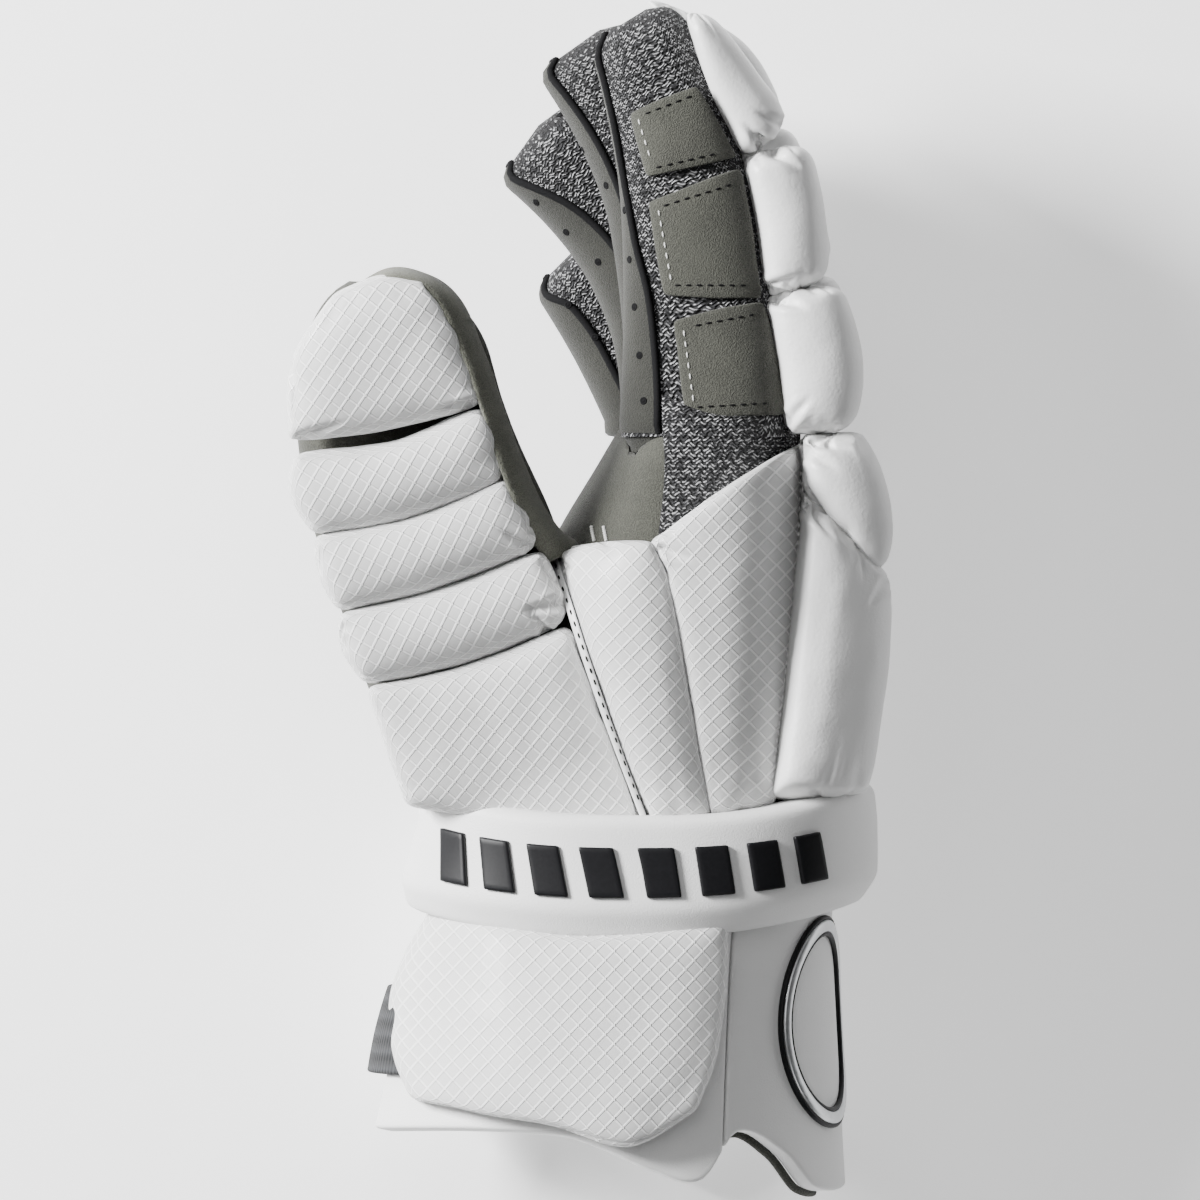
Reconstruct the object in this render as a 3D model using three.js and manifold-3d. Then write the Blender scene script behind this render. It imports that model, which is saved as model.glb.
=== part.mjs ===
// A right-hand lacrosse glove that lies on its little-finger side, in millimetres.
// +X is the back of the hand, -X the palm, +Y the fingertips and +Z the thumb side, which faces up.
import * as THREE from "three";
import { mergeVertices } from "three/addons/utils/BufferGeometryUtils.js";
import Module from "manifold-3d";

// Lengths along the hand
const CUFF_LENGTH = 69;
const BAND_HEIGHT = 34;
const HAND_LENGTH = 109;
const MIDDLE_LENGTH = 117;
const THUMB_LENGTH = 143;

// Depths from the hand's axis to its two faces, and widths across the fingers
const BACK_REACH = 60;
const PALM_REACH = 64;
const HAND_WIDTH = 110;
const FINGER_PITCH = 27;
const FINGER_WIDTH = 26.5;
const FINGER_DEPTH = 45;
const THUMB_WIDTH = 54;
const THUMB_DEPTH = 28;

// Walls and paddings
const LEATHER = 2;
const SUEDE = 1.6;
const MOULDING = 6;
const BAND_PAD = 12;
const BACK_PAD = 23;
const ROLL_PAD = 20;
const THUMB_PAD = 18;
const WEDGE_PAD = 15;
const CUFF_PAD = 11;
const ULNAR_PAD = 12;
const STRAP_WIDTH = 24;
const BADGE_RADIUS = 28.5;
const BADGE_RIM = 3.4;
const BADGE_RISE = 1.4;
const BAND_BARS = 8;
const BAR_RISE = 1.2;
const GAP = 0.3;
const SEAT = 0.5;

// Places worked out from the sizes above
const BAND_TOP = CUFF_LENGTH + BAND_HEIGHT;
const KNUCKLES = BAND_TOP + HAND_LENGTH;
const HAND_Z = HAND_WIDTH / 2 + 2;
const PANEL_OUT = SEAT + MOULDING;
const BAND_IN = PANEL_OUT + SEAT;
const BAND_OUT = BAND_IN + BAND_PAD;

const wasm = await Module();
wasm.setup();
const glove = new THREE.Group();

// Materials
const finish = (color, roughness, metalness = 0) =>
  new THREE.MeshStandardMaterial({ color, roughness, metalness });
const suede = finish("#73746a", 0.95);
const knit = finish("#55555a", 0.9);
const gridCloth = finish("#e9e9e6", 0.5);
const smoothWhite = finish("#ececea", 0.4);
const moulded = finish("#f0f0ee", 0.55);
const webbing = finish("#3c3d40", 0.9);
const silver = finish("#b9bbbd", 0.3, 0.9);
const gloss = finish("#101012", 0.3);

// Small helpers
const mix = (from, to, share) => from + (to - from) * share;
const clamp = (value, low, high) => Math.min(Math.max(value, low), high);
const radians = THREE.MathUtils.degToRad;

// A point of a rounded square of half side 1: a power of 2 is a circle, and more is squarer
function bulge(angle, power) {
  const across = Math.cos(angle);
  const up = Math.sin(angle);
  return [
    Math.sign(across) * Math.abs(across) ** (2 / power),
    Math.sign(up) * Math.abs(up) ** (2 / power),
  ];
}

// A smooth value through the rows of a table, at a station between them
function follow(rows, at, station, column) {
  let row = 0;
  while (row < rows.length - 2 && at > rows[row + 1][station]) row += 1;
  const low = rows[row];
  const high = rows[row + 1];
  const span = high[station] - low[station];
  const share = clamp((at - low[station]) / span, 0, 1);
  const slope = (number) => {
    const before = rows[Math.max(number - 1, 0)];
    const after = rows[Math.min(number + 1, rows.length - 1)];
    return ((after[column] - before[column]) / (after[station] - before[station])) * span;
  };
  const square = share * share;
  const cube = square * share;
  return (
    low[column] * (2 * cube - 3 * square + 1) +
    slope(row) * (cube - 2 * square + share) +
    high[column] * (3 * square - 2 * cube) +
    slope(row + 1) * (cube - square)
  );
}

// A closed body from points and triangles, with its faces turned outwards
function body(points, faces) {
  let volume = 0;
  for (const [a, b, c] of faces) {
    volume += points[a].dot(points[b].clone().cross(points[c]));
  }
  const geometry = new THREE.BufferGeometry();
  geometry.setFromPoints(points);
  geometry.setIndex(faces.flatMap(([a, b, c]) => (volume < 0 ? [a, c, b] : [a, b, c])));
  return geometry;
}

function centreOf(ring) {
  const sum = new THREE.Vector3();
  ring.forEach((point) => sum.add(point));
  return sum.divideScalar(ring.length);
}

// Rings of equal counts joined in order, closed at each end by a fan
function loft(rings) {
  const sides = rings[0].length;
  const points = rings.flat();
  const faces = [];
  for (let ring = 0; ring < rings.length - 1; ring += 1) {
    for (let side = 0; side < sides; side += 1) {
      const next = (side + 1) % sides;
      const low = ring * sides;
      const high = low + sides;
      faces.push([low + side, low + next, high + next]);
      faces.push([low + side, high + next, high + side]);
    }
  }
  const last = (rings.length - 1) * sides;
  points.push(centreOf(rings[0]), centreOf(rings.at(-1)));
  for (let side = 0; side < sides; side += 1) {
    const next = (side + 1) % sides;
    faces.push([points.length - 2, next, side]);
    faces.push([points.length - 1, last + side, last + next]);
  }
  return body(points, faces);
}

// Cuts
function asSolid(geometry) {
  const bare = geometry.clone();
  bare.deleteAttribute("normal");
  bare.deleteAttribute("uv");
  const merged = mergeVertices(bare, 1e-4);
  return new wasm.Manifold(
    new wasm.Mesh({
      numProp: 3,
      vertProperties: new Float32Array(merged.attributes.position.array),
      triVerts: new Uint32Array(merged.index.array),
    }),
  );
}

function asGeometry(solid) {
  const mesh = solid.getMesh();
  const geometry = new THREE.BufferGeometry();
  geometry.setAttribute("position", new THREE.BufferAttribute(mesh.vertProperties, 3));
  geometry.setIndex(new THREE.BufferAttribute(mesh.triVerts, 1));
  return geometry;
}

function cut(geometry, ...tools) {
  return asGeometry(tools.reduce((solid, tool) => solid.subtract(asSolid(tool)), asSolid(geometry)));
}

// A soft piece is pressed flat where it lies on the floor
const GROUND = { width: 600, length: 900, depth: 60 };
function restOnFloor(geometry) {
  const ground = new THREE.BoxGeometry(GROUND.width, GROUND.length, GROUND.depth);
  ground.translate(0, KNUCKLES / 2, -GROUND.depth / 2);
  return cut(geometry, ground);
}

function addPiece(name, geometry, material) {
  const mesh = new THREE.Mesh(geometry, material);
  mesh.name = name;
  glove.add(mesh);
}

// The hand and cuff: sections along the hand, as shares of its reaches and width
const SECTIONS = [
  { y: 0, back: 1.04, palm: 1.0, width: 0.94, power: 2.1 },
  { y: CUFF_LENGTH, back: 0.98, palm: 0.74, width: 0.76, power: 2.3 },
  { y: BAND_TOP, back: 0.98, palm: 0.58, width: 0.75, power: 2.5 },
  { y: BAND_TOP + HAND_LENGTH * 0.25, back: 0.93, palm: 0.52, width: 0.86, power: 2.6 },
  { y: BAND_TOP + HAND_LENGTH * 0.7, back: 0.93, palm: 0.22, width: 0.98, power: 2.7 },
  { y: KNUCKLES, back: 0.92, palm: -0.08, width: 1.0, power: 2.8 },
];

function sectionAt(y) {
  const back = BACK_REACH * follow(SECTIONS, y, "y", "back");
  const palm = PALM_REACH * follow(SECTIONS, y, "y", "palm");
  return {
    centre: (back - palm) / 2,
    depth: (back + palm) / 2,
    width: (HAND_WIDTH * follow(SECTIONS, y, "y", "width")) / 2,
    power: follow(SECTIONS, y, "y", "power"),
  };
}

// A point of the hand's surface: turn 0 is the back, 90 degrees the thumb side, 180 the palm
function onHand(turn, y, offset) {
  const section = sectionAt(y);
  const [across, up] = bulge(radians(turn), section.power);
  return new THREE.Vector3(
    section.centre + across * (section.depth + offset),
    y,
    HAND_Z + up * (section.width + offset),
  );
}

const TURN_STEP = 9.5;
const HAND_STEPS = 6;
function handRings(fromY, toY, offset, sides, steps) {
  return Array.from({ length: steps + 1 }, (_, step) =>
    Array.from({ length: sides }, (_, side) =>
      onHand((side / sides) * 360, mix(fromY, toY, step / steps), offset)));
}

// A limb is a finger or the thumb: a bent line in the plane of the hand's side
const ROOT_SHARE = 0.24;
function limbFrame(limb, share) {
  const steps = 16;
  const tilts = [limb.rootTilt, limb.midTilt, limb.tipTilt];
  const tiltAt = (part) => {
    const scaled = clamp(part, 0, 1) * 2;
    const joint = Math.min(Math.floor(scaled), 1);
    return radians(mix(tilts[joint], tilts[joint + 1], scaled - joint));
  };
  const at = new THREE.Vector3(limb.x, limb.y, mix(limb.rootZ, limb.tipZ, share));
  for (let step = 0; step < steps; step += 1) {
    const tilt = tiltAt(((step + 0.5) / steps) * share);
    const length = (limb.length * share) / steps;
    at.x -= Math.sin(tilt) * length;
    at.y += Math.cos(tilt) * length;
  }
  const tilt = tiltAt(share);
  return {
    at,
    along: new THREE.Vector3(-Math.sin(tilt), Math.cos(tilt), 0),
    across: new THREE.Vector3(Math.cos(tilt), Math.sin(tilt), 0),
    half: mix(limb.rootDepth, limb.tipDepth, share) / 2,
  };
}

// A point at some distance across a limb and above it. Near the root the sections turn level.
function besideLimb(limb, share, across, up, shift = 0) {
  const frame = limbFrame(limb, share);
  const level = Math.max(1 - share / ROOT_SHARE, 0) * (limb.level ? 1 : 0);
  const rise = (frame.across.y * across * level) / frame.along.y;
  const point = frame.at.clone().addScaledVector(frame.across, across);
  point.addScaledVector(frame.along, shift - rise);
  point.z += up;
  return point;
}

// Stations of a closed stall: shares of its length and of its section
const STALL = [
  { along: 0, scale: 1, slant: 0 },
  { along: 0.04, scale: 1, slant: 0 },
  { along: 0.24, scale: 1, slant: 0 },
  { along: 0.44, scale: 1, slant: 0 },
  { along: 0.64, scale: 1, slant: 0 },
  { along: 0.84, scale: 0.99, slant: 0.2 },
  { along: 0.95, scale: 0.88, slant: 0.7 },
  { along: 1, scale: 0.55, slant: 1 },
];
const STALL_POWER = 2.6;
const STALL_SIDES = 14;
const TIP_SLANT = 6;

function onStall(limb, turn, share, offset, scale = 1, slant = 0) {
  const { half } = limbFrame(limb, share);
  const [across, up] = bulge(radians(turn), STALL_POWER);
  const depth = across * (half * scale + offset);
  return besideLimb(limb, share, depth, up * ((limb.width / 2) * scale + offset), (slant * across) / 2);
}

function stallRings(limb, wall) {
  const reach = 1 - wall / limb.length;
  return STALL.map(({ along, scale, slant }) =>
    Array.from({ length: STALL_SIDES }, (_, side) =>
      onStall(limb, (side / STALL_SIDES) * 360, along * reach, -wall, scale, slant * TIP_SLANT)));
}

function stall(limb) {
  return loft([...stallRings(limb, LEATHER).reverse(), ...stallRings(limb, 0)]);
}

// Stations of a stuffed roll: shares of its length, depth and rise
const ROLL = [
  { along: 0, across: 0.86, up: 0.55 },
  { along: 0.1, across: 0.98, up: 0.9 },
  { along: 0.35, across: 1, up: 1 },
  { along: 0.65, across: 1, up: 1 },
  { along: 0.9, across: 0.98, up: 0.9 },
  { along: 1, across: 0.86, up: 0.55 },
];
const CAP = [
  { along: 0, across: 0.92, up: 0.55 },
  { along: 0.08, across: 0.99, up: 0.9 },
  { along: 0.3, across: 1, up: 1 },
  { along: 0.58, across: 0.95, up: 0.98 },
  { along: 0.8, across: 0.78, up: 0.86 },
  { along: 0.94, across: 0.48, up: 0.62 },
  { along: 1, across: 0.22, up: 0.4 },
];
const ROLL_POWER = 3.2;
const ROLL_SIDES = 12;

// A stuffed bar between two shares of a limb's length, with ends that slope across it.
// It lies on the back of the limb, or above the limb's side.
function bar(limb, from, to, shape, stations = ROLL) {
  const rings = stations.map(({ along, across, up }) => {
    const share = mix(from, to, along);
    const thick = mix(shape.thickFrom, shape.thickTo, along);
    const slope = mix(shape.slopeFrom, shape.slopeTo, along);
    const { half } = limbFrame(limb, share);
    return Array.from({ length: ROLL_SIDES }, (_, side) => {
      const [u, w] = bulge((side / ROLL_SIDES) * Math.PI * 2, ROLL_POWER);
      if (shape.above) {
        const depth = u * half * across;
        const height = limb.width / 2 + SEAT + (thick / 2) * (1 + w * up);
        return besideLimb(limb, share, depth, height, slope * depth);
      }
      const height = (thick / 2) * (1 + u) * up;
      const width = (shape.width / 2) * across * w;
      return besideLimb(limb, share, half + SEAT + height, width, slope * (height - thick / 2));
    });
  });
  return loft(rings);
}

// A crowned pad over a surface: its outline is drawn in shares across and along
const CROWN = [
  { out: 1, up: 0.45 },
  { out: 0.94, up: 0.82 },
  { out: 0.76, up: 0.97 },
  { out: 0.4, up: 1 },
];
const BACKING = [{ out: 1, up: 0 }, { out: 0.5, up: 0 }];

function pad(outline, surface, thick, count, low = GAP) {
  const curve = new THREE.CatmullRomCurve3(
    outline.map(({ across, along }) => new THREE.Vector3(across, along, 0)), true, "catmullrom", 0.3);
  const edge = curve.getSpacedPoints(count).slice(0, count);
  const middle = centreOf(edge);
  const ring = ({ out, up }) =>
    edge.map((point) => {
      const inner = middle.clone().lerp(point, out);
      return surface(inner.x, inner.y, up === 0 ? low : GAP + thick * up);
    });
  return loft([...BACKING.map(ring).reverse(), ...CROWN.map(ring)]);
}

// A plate over a surface: a grid between two turns, and between two edges that may follow the turn
function plate(surface, shape) {
  const { columns, rows, low, high, round = 0 } = shape;
  const points = [];
  const faces = [];
  for (const offset of [low, high]) {
    for (let column = 0; column <= columns; column += 1) {
      const turn = mix(shape.from, shape.to, column / columns);
      for (let row = 0; row <= rows; row += 1) {
        const edge = column === 0 || column === columns || row === 0 || row === rows;
        const shy = edge && offset === high ? (high - low) * round : 0;
        points.push(surface(turn, mix(shape.bottom(turn), shape.top(turn), row / rows), offset - shy));
      }
    }
  }
  const corner = (layer, column, row) => (layer * (columns + 1) + column) * (rows + 1) + row;
  const quad = (a, b, c, d) => faces.push([a, b, c], [a, c, d]);
  const wall = (c1, r1, c2, r2) =>
    quad(corner(0, c1, r1), corner(0, c2, r2), corner(1, c2, r2), corner(1, c1, r1));
  for (let column = 0; column < columns; column += 1) {
    const after = column + 1;
    for (let row = 0; row < rows; row += 1) {
      const top = [[column, row], [after, row], [after, row + 1], [column, row + 1]];
      quad(...top.map(([c, r]) => corner(1, c, r)));
      quad(...top.reverse().map(([c, r]) => corner(0, c, r)));
    }
    wall(column, 0, after, 0);
    wall(after, rows, column, rows);
  }
  for (let row = 0; row < rows; row += 1) {
    wall(0, row + 1, 0, row);
    wall(columns, row, columns, row + 1);
  }
  return body(points, faces);
}

// Fingers from the little one up: place in pitches, length in middle fingers, depths in finger depths
const FINGERS = [
  {
    name: "pinky", place: -1.5, x: 25.2, length: 0.52, root: 0.9, tip: 0.58,
    rootTilt: 28, midTilt: 34, tipTilt: 38, rolls: 2,
  },
  {
    name: "ring", place: -0.5, x: 28.5, length: 0.86, root: 0.98, tip: 0.64,
    rootTilt: 0, midTilt: 31, tipTilt: 50, rolls: 3,
  },
  {
    name: "middle", place: 0.5, x: 30.2, length: 1, root: 1, tip: 0.64,
    rootTilt: 2, midTilt: 14, tipTilt: 31, rolls: 3,
  },
  {
    name: "index", place: 1.5, x: 28.6, length: 1.01, root: 1, tip: 0.62,
    rootTilt: 0, midTilt: 7, tipTilt: 17, rolls: 3,
  },
].map((row) => ({
  ...row,
  length: row.length * MIDDLE_LENGTH,
  y: KNUCKLES + GAP,
  level: true,
  rootZ: HAND_Z + row.place * FINGER_PITCH,
  tipZ: HAND_Z + row.place * FINGER_PITCH,
  rootDepth: row.root * FINGER_DEPTH,
  tipDepth: row.tip * FINGER_DEPTH,
  width: FINGER_WIDTH,
}));

const THUMB = {
  x: -22.5,
  y: BAND_TOP + 10.5,
  rootZ: HAND_Z + 20,
  tipZ: HAND_Z + 46,
  length: THUMB_LENGTH,
  rootDepth: THUMB_WIDTH * 1.14,
  tipDepth: THUMB_WIDTH * 0.9,
  width: THUMB_DEPTH,
  level: true,
  rootTilt: 22,
  midTilt: 22,
  tipTilt: -6,
};

// The suede hand: a hollow whose knuckle wall opens into each finger, and whose side opens to the thumb
const HAND_SIDES = 24;
const handOuter = handRings(BAND_TOP + GAP, KNUCKLES, 0, HAND_SIDES, HAND_STEPS);
const handInner = handRings(BAND_TOP + GAP, KNUCKLES - LEATHER, -LEATHER, HAND_SIDES, HAND_STEPS);
const raise = (ring, by) => ring.map((point) => point.clone().setY(point.y + by));
const fingerPassage = (finger) => {
  const mouth = stallRings(finger, LEATHER)[0];
  return loft([raise(mouth, -LEATHER * 3), raise(mouth, LEATHER)]);
};
const handShell = cut(
  loft([...handInner.reverse(), ...handOuter]),
  ...FINGERS.map(fingerPassage),
  loft(stallRings(THUMB, LEATHER)),
);
addPiece("hand_shell", handShell, suede);
const nearHand = handRings(BAND_TOP + GAP, KNUCKLES, GAP, HAND_SIDES, HAND_STEPS);
const nearRoot = raise(nearHand[0], -GAP * 2);
const nearKnuckles = raise(nearHand.at(-1), GAP);
const aroundHand = loft([nearRoot, ...nearHand.slice(1, -1), nearKnuckles]);
addPiece("thumb_shell", cut(stall(THUMB), aroundHand), suede);

// Fingers, with their rolls on the back and their suede on the palm side
const ROLL_GAP = 0.006;
const ROLL_END = 0.97;
const TIP_THIN = 0.5;
const STRIP_TURN = (360 / STALL_SIDES) * 2;
for (const finger of FINGERS) {
  addPiece(`${finger.name}_shell`, stall(finger), knit);
  for (let roll = 0; roll < finger.rolls; roll += 1) {
    const last = roll === finger.rolls - 1;
    const from = ROLL_END * (roll / finger.rolls) + ROLL_GAP;
    const to = ROLL_END * ((roll + 1) / finger.rolls) - ROLL_GAP;
    const shape = {
      thickFrom: ROLL_PAD,
      thickTo: ROLL_PAD * (last ? TIP_THIN : 1),
      width: FINGER_WIDTH,
      slopeFrom: roll === 0 ? 0 : 0.1,
      slopeTo: last ? -0.6 : 0.1,
    };
    addPiece(`${finger.name}_roll_${finger.rolls - roll}`, bar(finger, from, to, shape), smoothWhite);
  }
  const strip = plate((turn, share, offset) => onStall(finger, turn, share, offset), {
    from: 180 - STRIP_TURN, to: 180 + STRIP_TURN, columns: 4, rows: 3, low: GAP, high: GAP + SUEDE,
    bottom: () => 0.24,
    top: () => 0.84,
  });
  addPiece(`${finger.name}_palm_strip`, strip, suede);
}

// The back of the hand: one knuckle roll to each finger, and three long pads below them
const backLimb = (place) => ({
  x: 0, y: BAND_TOP, length: HAND_LENGTH, width: 0,
  rootZ: HAND_Z + place, tipZ: HAND_Z + place,
  rootDepth: BACK_REACH * 1.9, tipDepth: BACK_REACH * 1.84,
  rootTilt: 0, midTilt: 0, tipTilt: 0,
});
const KNUCKLE_SLOPE = -1.05;
const KNUCKLE_LINE = 0.735;
const PAD_SPACE = 0.004;
for (const finger of FINGERS) {
  const shape = {
    thickFrom: BACK_PAD, thickTo: BACK_PAD * 0.8, width: FINGER_WIDTH,
    slopeFrom: KNUCKLE_SLOPE, slopeTo: 0,
  };
  const roll = bar(backLimb(finger.place * FINGER_PITCH), KNUCKLE_LINE + PAD_SPACE, 0.99, shape);
  addPiece(`${finger.name}_knuckle_roll`, cut(roll, aroundHand), smoothWhite);
}
const BACK_PADS = [
  { name: "ulnar", place: -1 },
  { name: "centre", place: 0 },
  { name: "radial", place: 1 },
];
const BACK_PITCH = HAND_WIDTH / BACK_PADS.length;
for (const { name, place } of BACK_PADS) {
  const shape = {
    thickFrom: BACK_PAD * 0.78, thickTo: BACK_PAD, width: BACK_PITCH - 2 * GAP,
    slopeFrom: 0, slopeTo: KNUCKLE_SLOPE,
  };
  const long = bar(backLimb(place * BACK_PITCH), 0.125, KNUCKLE_LINE - PAD_SPACE, shape);
  addPiece(`back_pad_${name}`, cut(long, aroundHand), smoothWhite);
}

// The thumb's cap and rolls lie on its thumb side
const THUMB_BARS = [
  { name: "thumb_roll_3", from: 0.26, to: 0.41, stations: ROLL },
  { name: "thumb_roll_2", from: 0.415, to: 0.575, stations: ROLL },
  { name: "thumb_roll_1", from: 0.58, to: 0.705, stations: ROLL },
  { name: "thumb_cap", from: 0.71, to: 1.0, stations: CAP },
];
const THUMB_SLOPE = -0.08;
const BASE_SLOPE = -0.1;
const thumbShape = {
  above: true, thickFrom: THUMB_PAD, thickTo: THUMB_PAD, slopeFrom: THUMB_SLOPE, slopeTo: THUMB_SLOPE,
};
for (const { name, from, to, stations } of THUMB_BARS) {
  addPiece(name, bar(THUMB, from, to, thumbShape, stations), gridCloth);
}
const thumbBase = bar(THUMB, -0.03, 0.255, { ...thumbShape, slopeFrom: BASE_SLOPE });
addPiece("thumb_base_pad", cut(thumbBase, aroundHand), gridCloth);

// Pads on the hand's two sides, drawn in shares of the section's depth and of the hand's length
const handSide = (side) => (across, along, offset) => {
  const y = BAND_TOP + along * HAND_LENGTH;
  const section = sectionAt(y);
  const share = clamp(across, -0.97, 0.97);
  const height = (1 - Math.abs(share) ** section.power) ** (1 / section.power);
  return new THREE.Vector3(
    section.centre + across * section.depth,
    y,
    HAND_Z + side * (section.width * height + offset),
  );
};
const WEDGES = [
  [
    { across: -0.9, along: 0.67 },
    { across: -0.5, along: 0.72 },
    { across: -0.06, along: 0.71 },
    { across: 0.02, along: 0.6 },
    { across: 0.36, along: 0.045 },
    { across: 0.22, along: 0.025 },
    { across: 0.04, along: 0.035 },
    { across: -0.07, along: 0.2 },
    { across: -0.36, along: 0.4 },
  ],
  [
    { across: 0.0, along: 0.71 },
    { across: 0.5, along: 0.91 },
    { across: 0.9, along: 0.96 },
    { across: 0.95, along: 0.8 },
    { across: 0.92, along: 0.095 },
    { across: 0.68, along: 0.05 },
    { across: 0.43, along: 0.045 },
    { across: 0.12, along: 0.58 },
  ],
];
const SUNK = -4;
const SIDES = [
  { name: "radial", side: 1, thick: WEDGE_PAD },
  { name: "ulnar", side: -1, thick: ULNAR_PAD },
];
for (const { name, side, thick } of SIDES) {
  WEDGES.forEach((outline, number) => {
    const wedge = cut(pad(outline, handSide(side), thick, 22, SUNK), aroundHand);
    addPiece(`${name}_wedge_pad_${number + 1}`, side < 0 ? restOnFloor(wedge) : wedge, gridCloth);
  });
}
const GUSSET = [
  { across: -0.6, along: 0.78 },
  { across: 0.1, along: 0.84 },
  { across: 0.7, along: 0.98 },
  { across: 0.1, along: 0.985 },
  { across: -0.5, along: 0.97 },
];
addPiece("radial_mesh_gusset", cut(pad(GUSSET, handSide(1), SUEDE, 16, SUNK), aroundHand), knit);

// Suede patches on the thumb side of the index finger
const index = FINGERS.find(({ name }) => name === "index");
const indexSide = (across, along, offset) => {
  const { half } = limbFrame(index, along);
  const share = clamp(across, -0.94, 0.94);
  const height = (1 - Math.abs(share) ** STALL_POWER) ** (1 / STALL_POWER);
  return besideLimb(index, along, across * half, (FINGER_WIDTH / 2) * height + offset);
};
const aroundIndex = loft(STALL.map(({ along, scale, slant }) =>
  Array.from({ length: STALL_SIDES }, (_, side) =>
    onStall(index, (side / STALL_SIDES) * 360, along, GAP, scale, slant * TIP_SLANT))));
const PATCHES = [
  { low: 0.03, high: 0.24, left: -0.34, right: 0.88 },
  { low: 0.31, high: 0.53, left: -0.4, right: 0.88 },
  { low: 0.6, high: 0.74, left: -0.45, right: 0.84 },
];
PATCHES.forEach(({ low, high, left, right }, number) => {
  const outline = [
    { across: left, along: low },
    { across: right, along: low },
    { across: right, along: high + 0.04 },
    { across: left, along: high },
  ];
  const patch = cut(pad(outline, indexSide, SUEDE, 16, SUNK), aroundIndex);
  addPiece(`index_side_patch_${PATCHES.length - number}`, patch, suede);
});

// The cuff: a lining that is open on the palm side, three moulded panels, and the band over them
const lining = plate(onHand, {
  from: -16 * TURN_STEP, to: 16 * TURN_STEP, columns: 32, rows: 4, low: -LEATHER, high: 0,
  bottom: () => CUFF_LENGTH * 0.26,
  top: () => BAND_TOP,
});
addPiece("cuff_lining", lining, suede);

const HEM = [
  { turn: 0, height: 0 },
  { turn: 28, height: 0.01 },
  { turn: 42, height: 0.16 },
  { turn: 57, height: 0.24 },
  { turn: 66, height: 0.05 },
  { turn: 78, height: 0.09 },
  { turn: 100, height: 0.23 },
  { turn: 172, height: 0.23 },
];
const hem = (turn) => CUFF_LENGTH * follow(HEM, Math.abs(turn), "turn", "height");
const DIP = 9;
const BAND_LIFT = 11;
const bandLow = (turn) => CUFF_LENGTH + BAND_LIFT - DIP * Math.sin(radians(turn)) ** 2;
const PANEL_SPLIT = 6 * TURN_STEP;
const PANEL_END = 17 * TURN_STEP;
const SPLIT_GAP = 0.35;
const PANELS = [
  { name: "cuff_radial_panel", from: PANEL_SPLIT + SPLIT_GAP, to: PANEL_END, columns: 11 },
  { name: "cuff_shield", from: -PANEL_SPLIT, to: PANEL_SPLIT, columns: 12 },
  { name: "cuff_ulnar_panel", from: -PANEL_END, to: -PANEL_SPLIT - SPLIT_GAP, columns: 11 },
];
for (const { name, from, to, columns } of PANELS) {
  const panel = plate(onHand, {
    from, to, columns, rows: 5, low: SEAT, high: PANEL_OUT, round: 0.35, bottom: hem,
    top: (turn) => bandLow(turn) + BAND_HEIGHT * 0.75,
  });
  addPiece(name, restOnFloor(panel), moulded);
}

const BAND_ROWS = [
  { up: 0.05, out: 0 },
  { up: 0, out: 0.55 },
  { up: 0.12, out: 0.94 },
  { up: 0.3, out: 1 },
  { up: 0.7, out: 1 },
  { up: 0.88, out: 0.94 },
  { up: 1, out: 0.55 },
  { up: 0.95, out: 0 },
];
const BAND_START = -15 * TURN_STEP;
const BAND_STEPS = 32;
const bandRings = Array.from({ length: BAND_STEPS + 1 }, (_, step) => {
  const turn = BAND_START + step * TURN_STEP;
  const swell = step === 0 || step === BAND_STEPS ? 0.6 : 1;
  return BAND_ROWS.map(({ up, out }) =>
    onHand(turn, bandLow(turn) + BAND_HEIGHT * up, BAND_IN + BAND_PAD * out * swell));
});
addPiece("wrist_band", restOnFloor(loft(bandRings)), moulded);

// Raised slanted bars on the band, at equal steps
const BAR_FROM = 42;
const BAR_TO = 140;
const BAR_SHARE = 0.62;
const BAR_LEAN = 4;
const BAR_PITCH = (BAR_TO - BAR_FROM) / BAND_BARS;
const onBand = (turn, share, offset) => {
  const y = bandLow(turn) + BAND_HEIGHT * mix(0.34, 0.66, share);
  return onHand(turn + BAR_LEAN * share, y, BAND_OUT + offset);
};
for (let number = 0; number < BAND_BARS; number += 1) {
  const from = BAR_FROM + BAR_PITCH * number;
  const piece = plate(onBand, {
    from, to: from + BAR_PITCH * BAR_SHARE, columns: 2, rows: 1, low: GAP, high: GAP + BAR_RISE,
    bottom: () => 0,
    top: () => 1,
  });
  addPiece(`band_bar_${number + 1}`, piece, gloss);
}

// Pads on the cuff's two sides, in shares of the section's depth and of the cuff's length
const cuffSide = (side) => (across, along, offset) => {
  const y = along * CUFF_LENGTH;
  const section = sectionAt(y);
  const height = (1 - Math.abs(across) ** section.power) ** (1 / section.power);
  return new THREE.Vector3(
    section.centre + across * (section.depth + PANEL_OUT),
    y,
    HAND_Z + side * ((section.width + PANEL_OUT) * height + offset),
  );
};
const CUFF_OUTLINE = [
  { across: -0.76, along: 0.97 },
  { across: -0.2, along: 0.95 },
  { across: 0.5, along: 0.98 },
  { across: 0.48, along: 0.5 },
  { across: 0.36, along: 0.32 },
  { across: 0.1, along: 0.24 },
  { across: -0.3, along: 0.32 },
  { across: -0.72, along: 0.4 },
  { across: -0.83, along: 0.62 },
];
const CUFF_SIDES = Math.round(720 / TURN_STEP);
const aroundCuff = loft(handRings(0, CUFF_LENGTH * 1.2, PANEL_OUT + GAP, CUFF_SIDES, 6));
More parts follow.
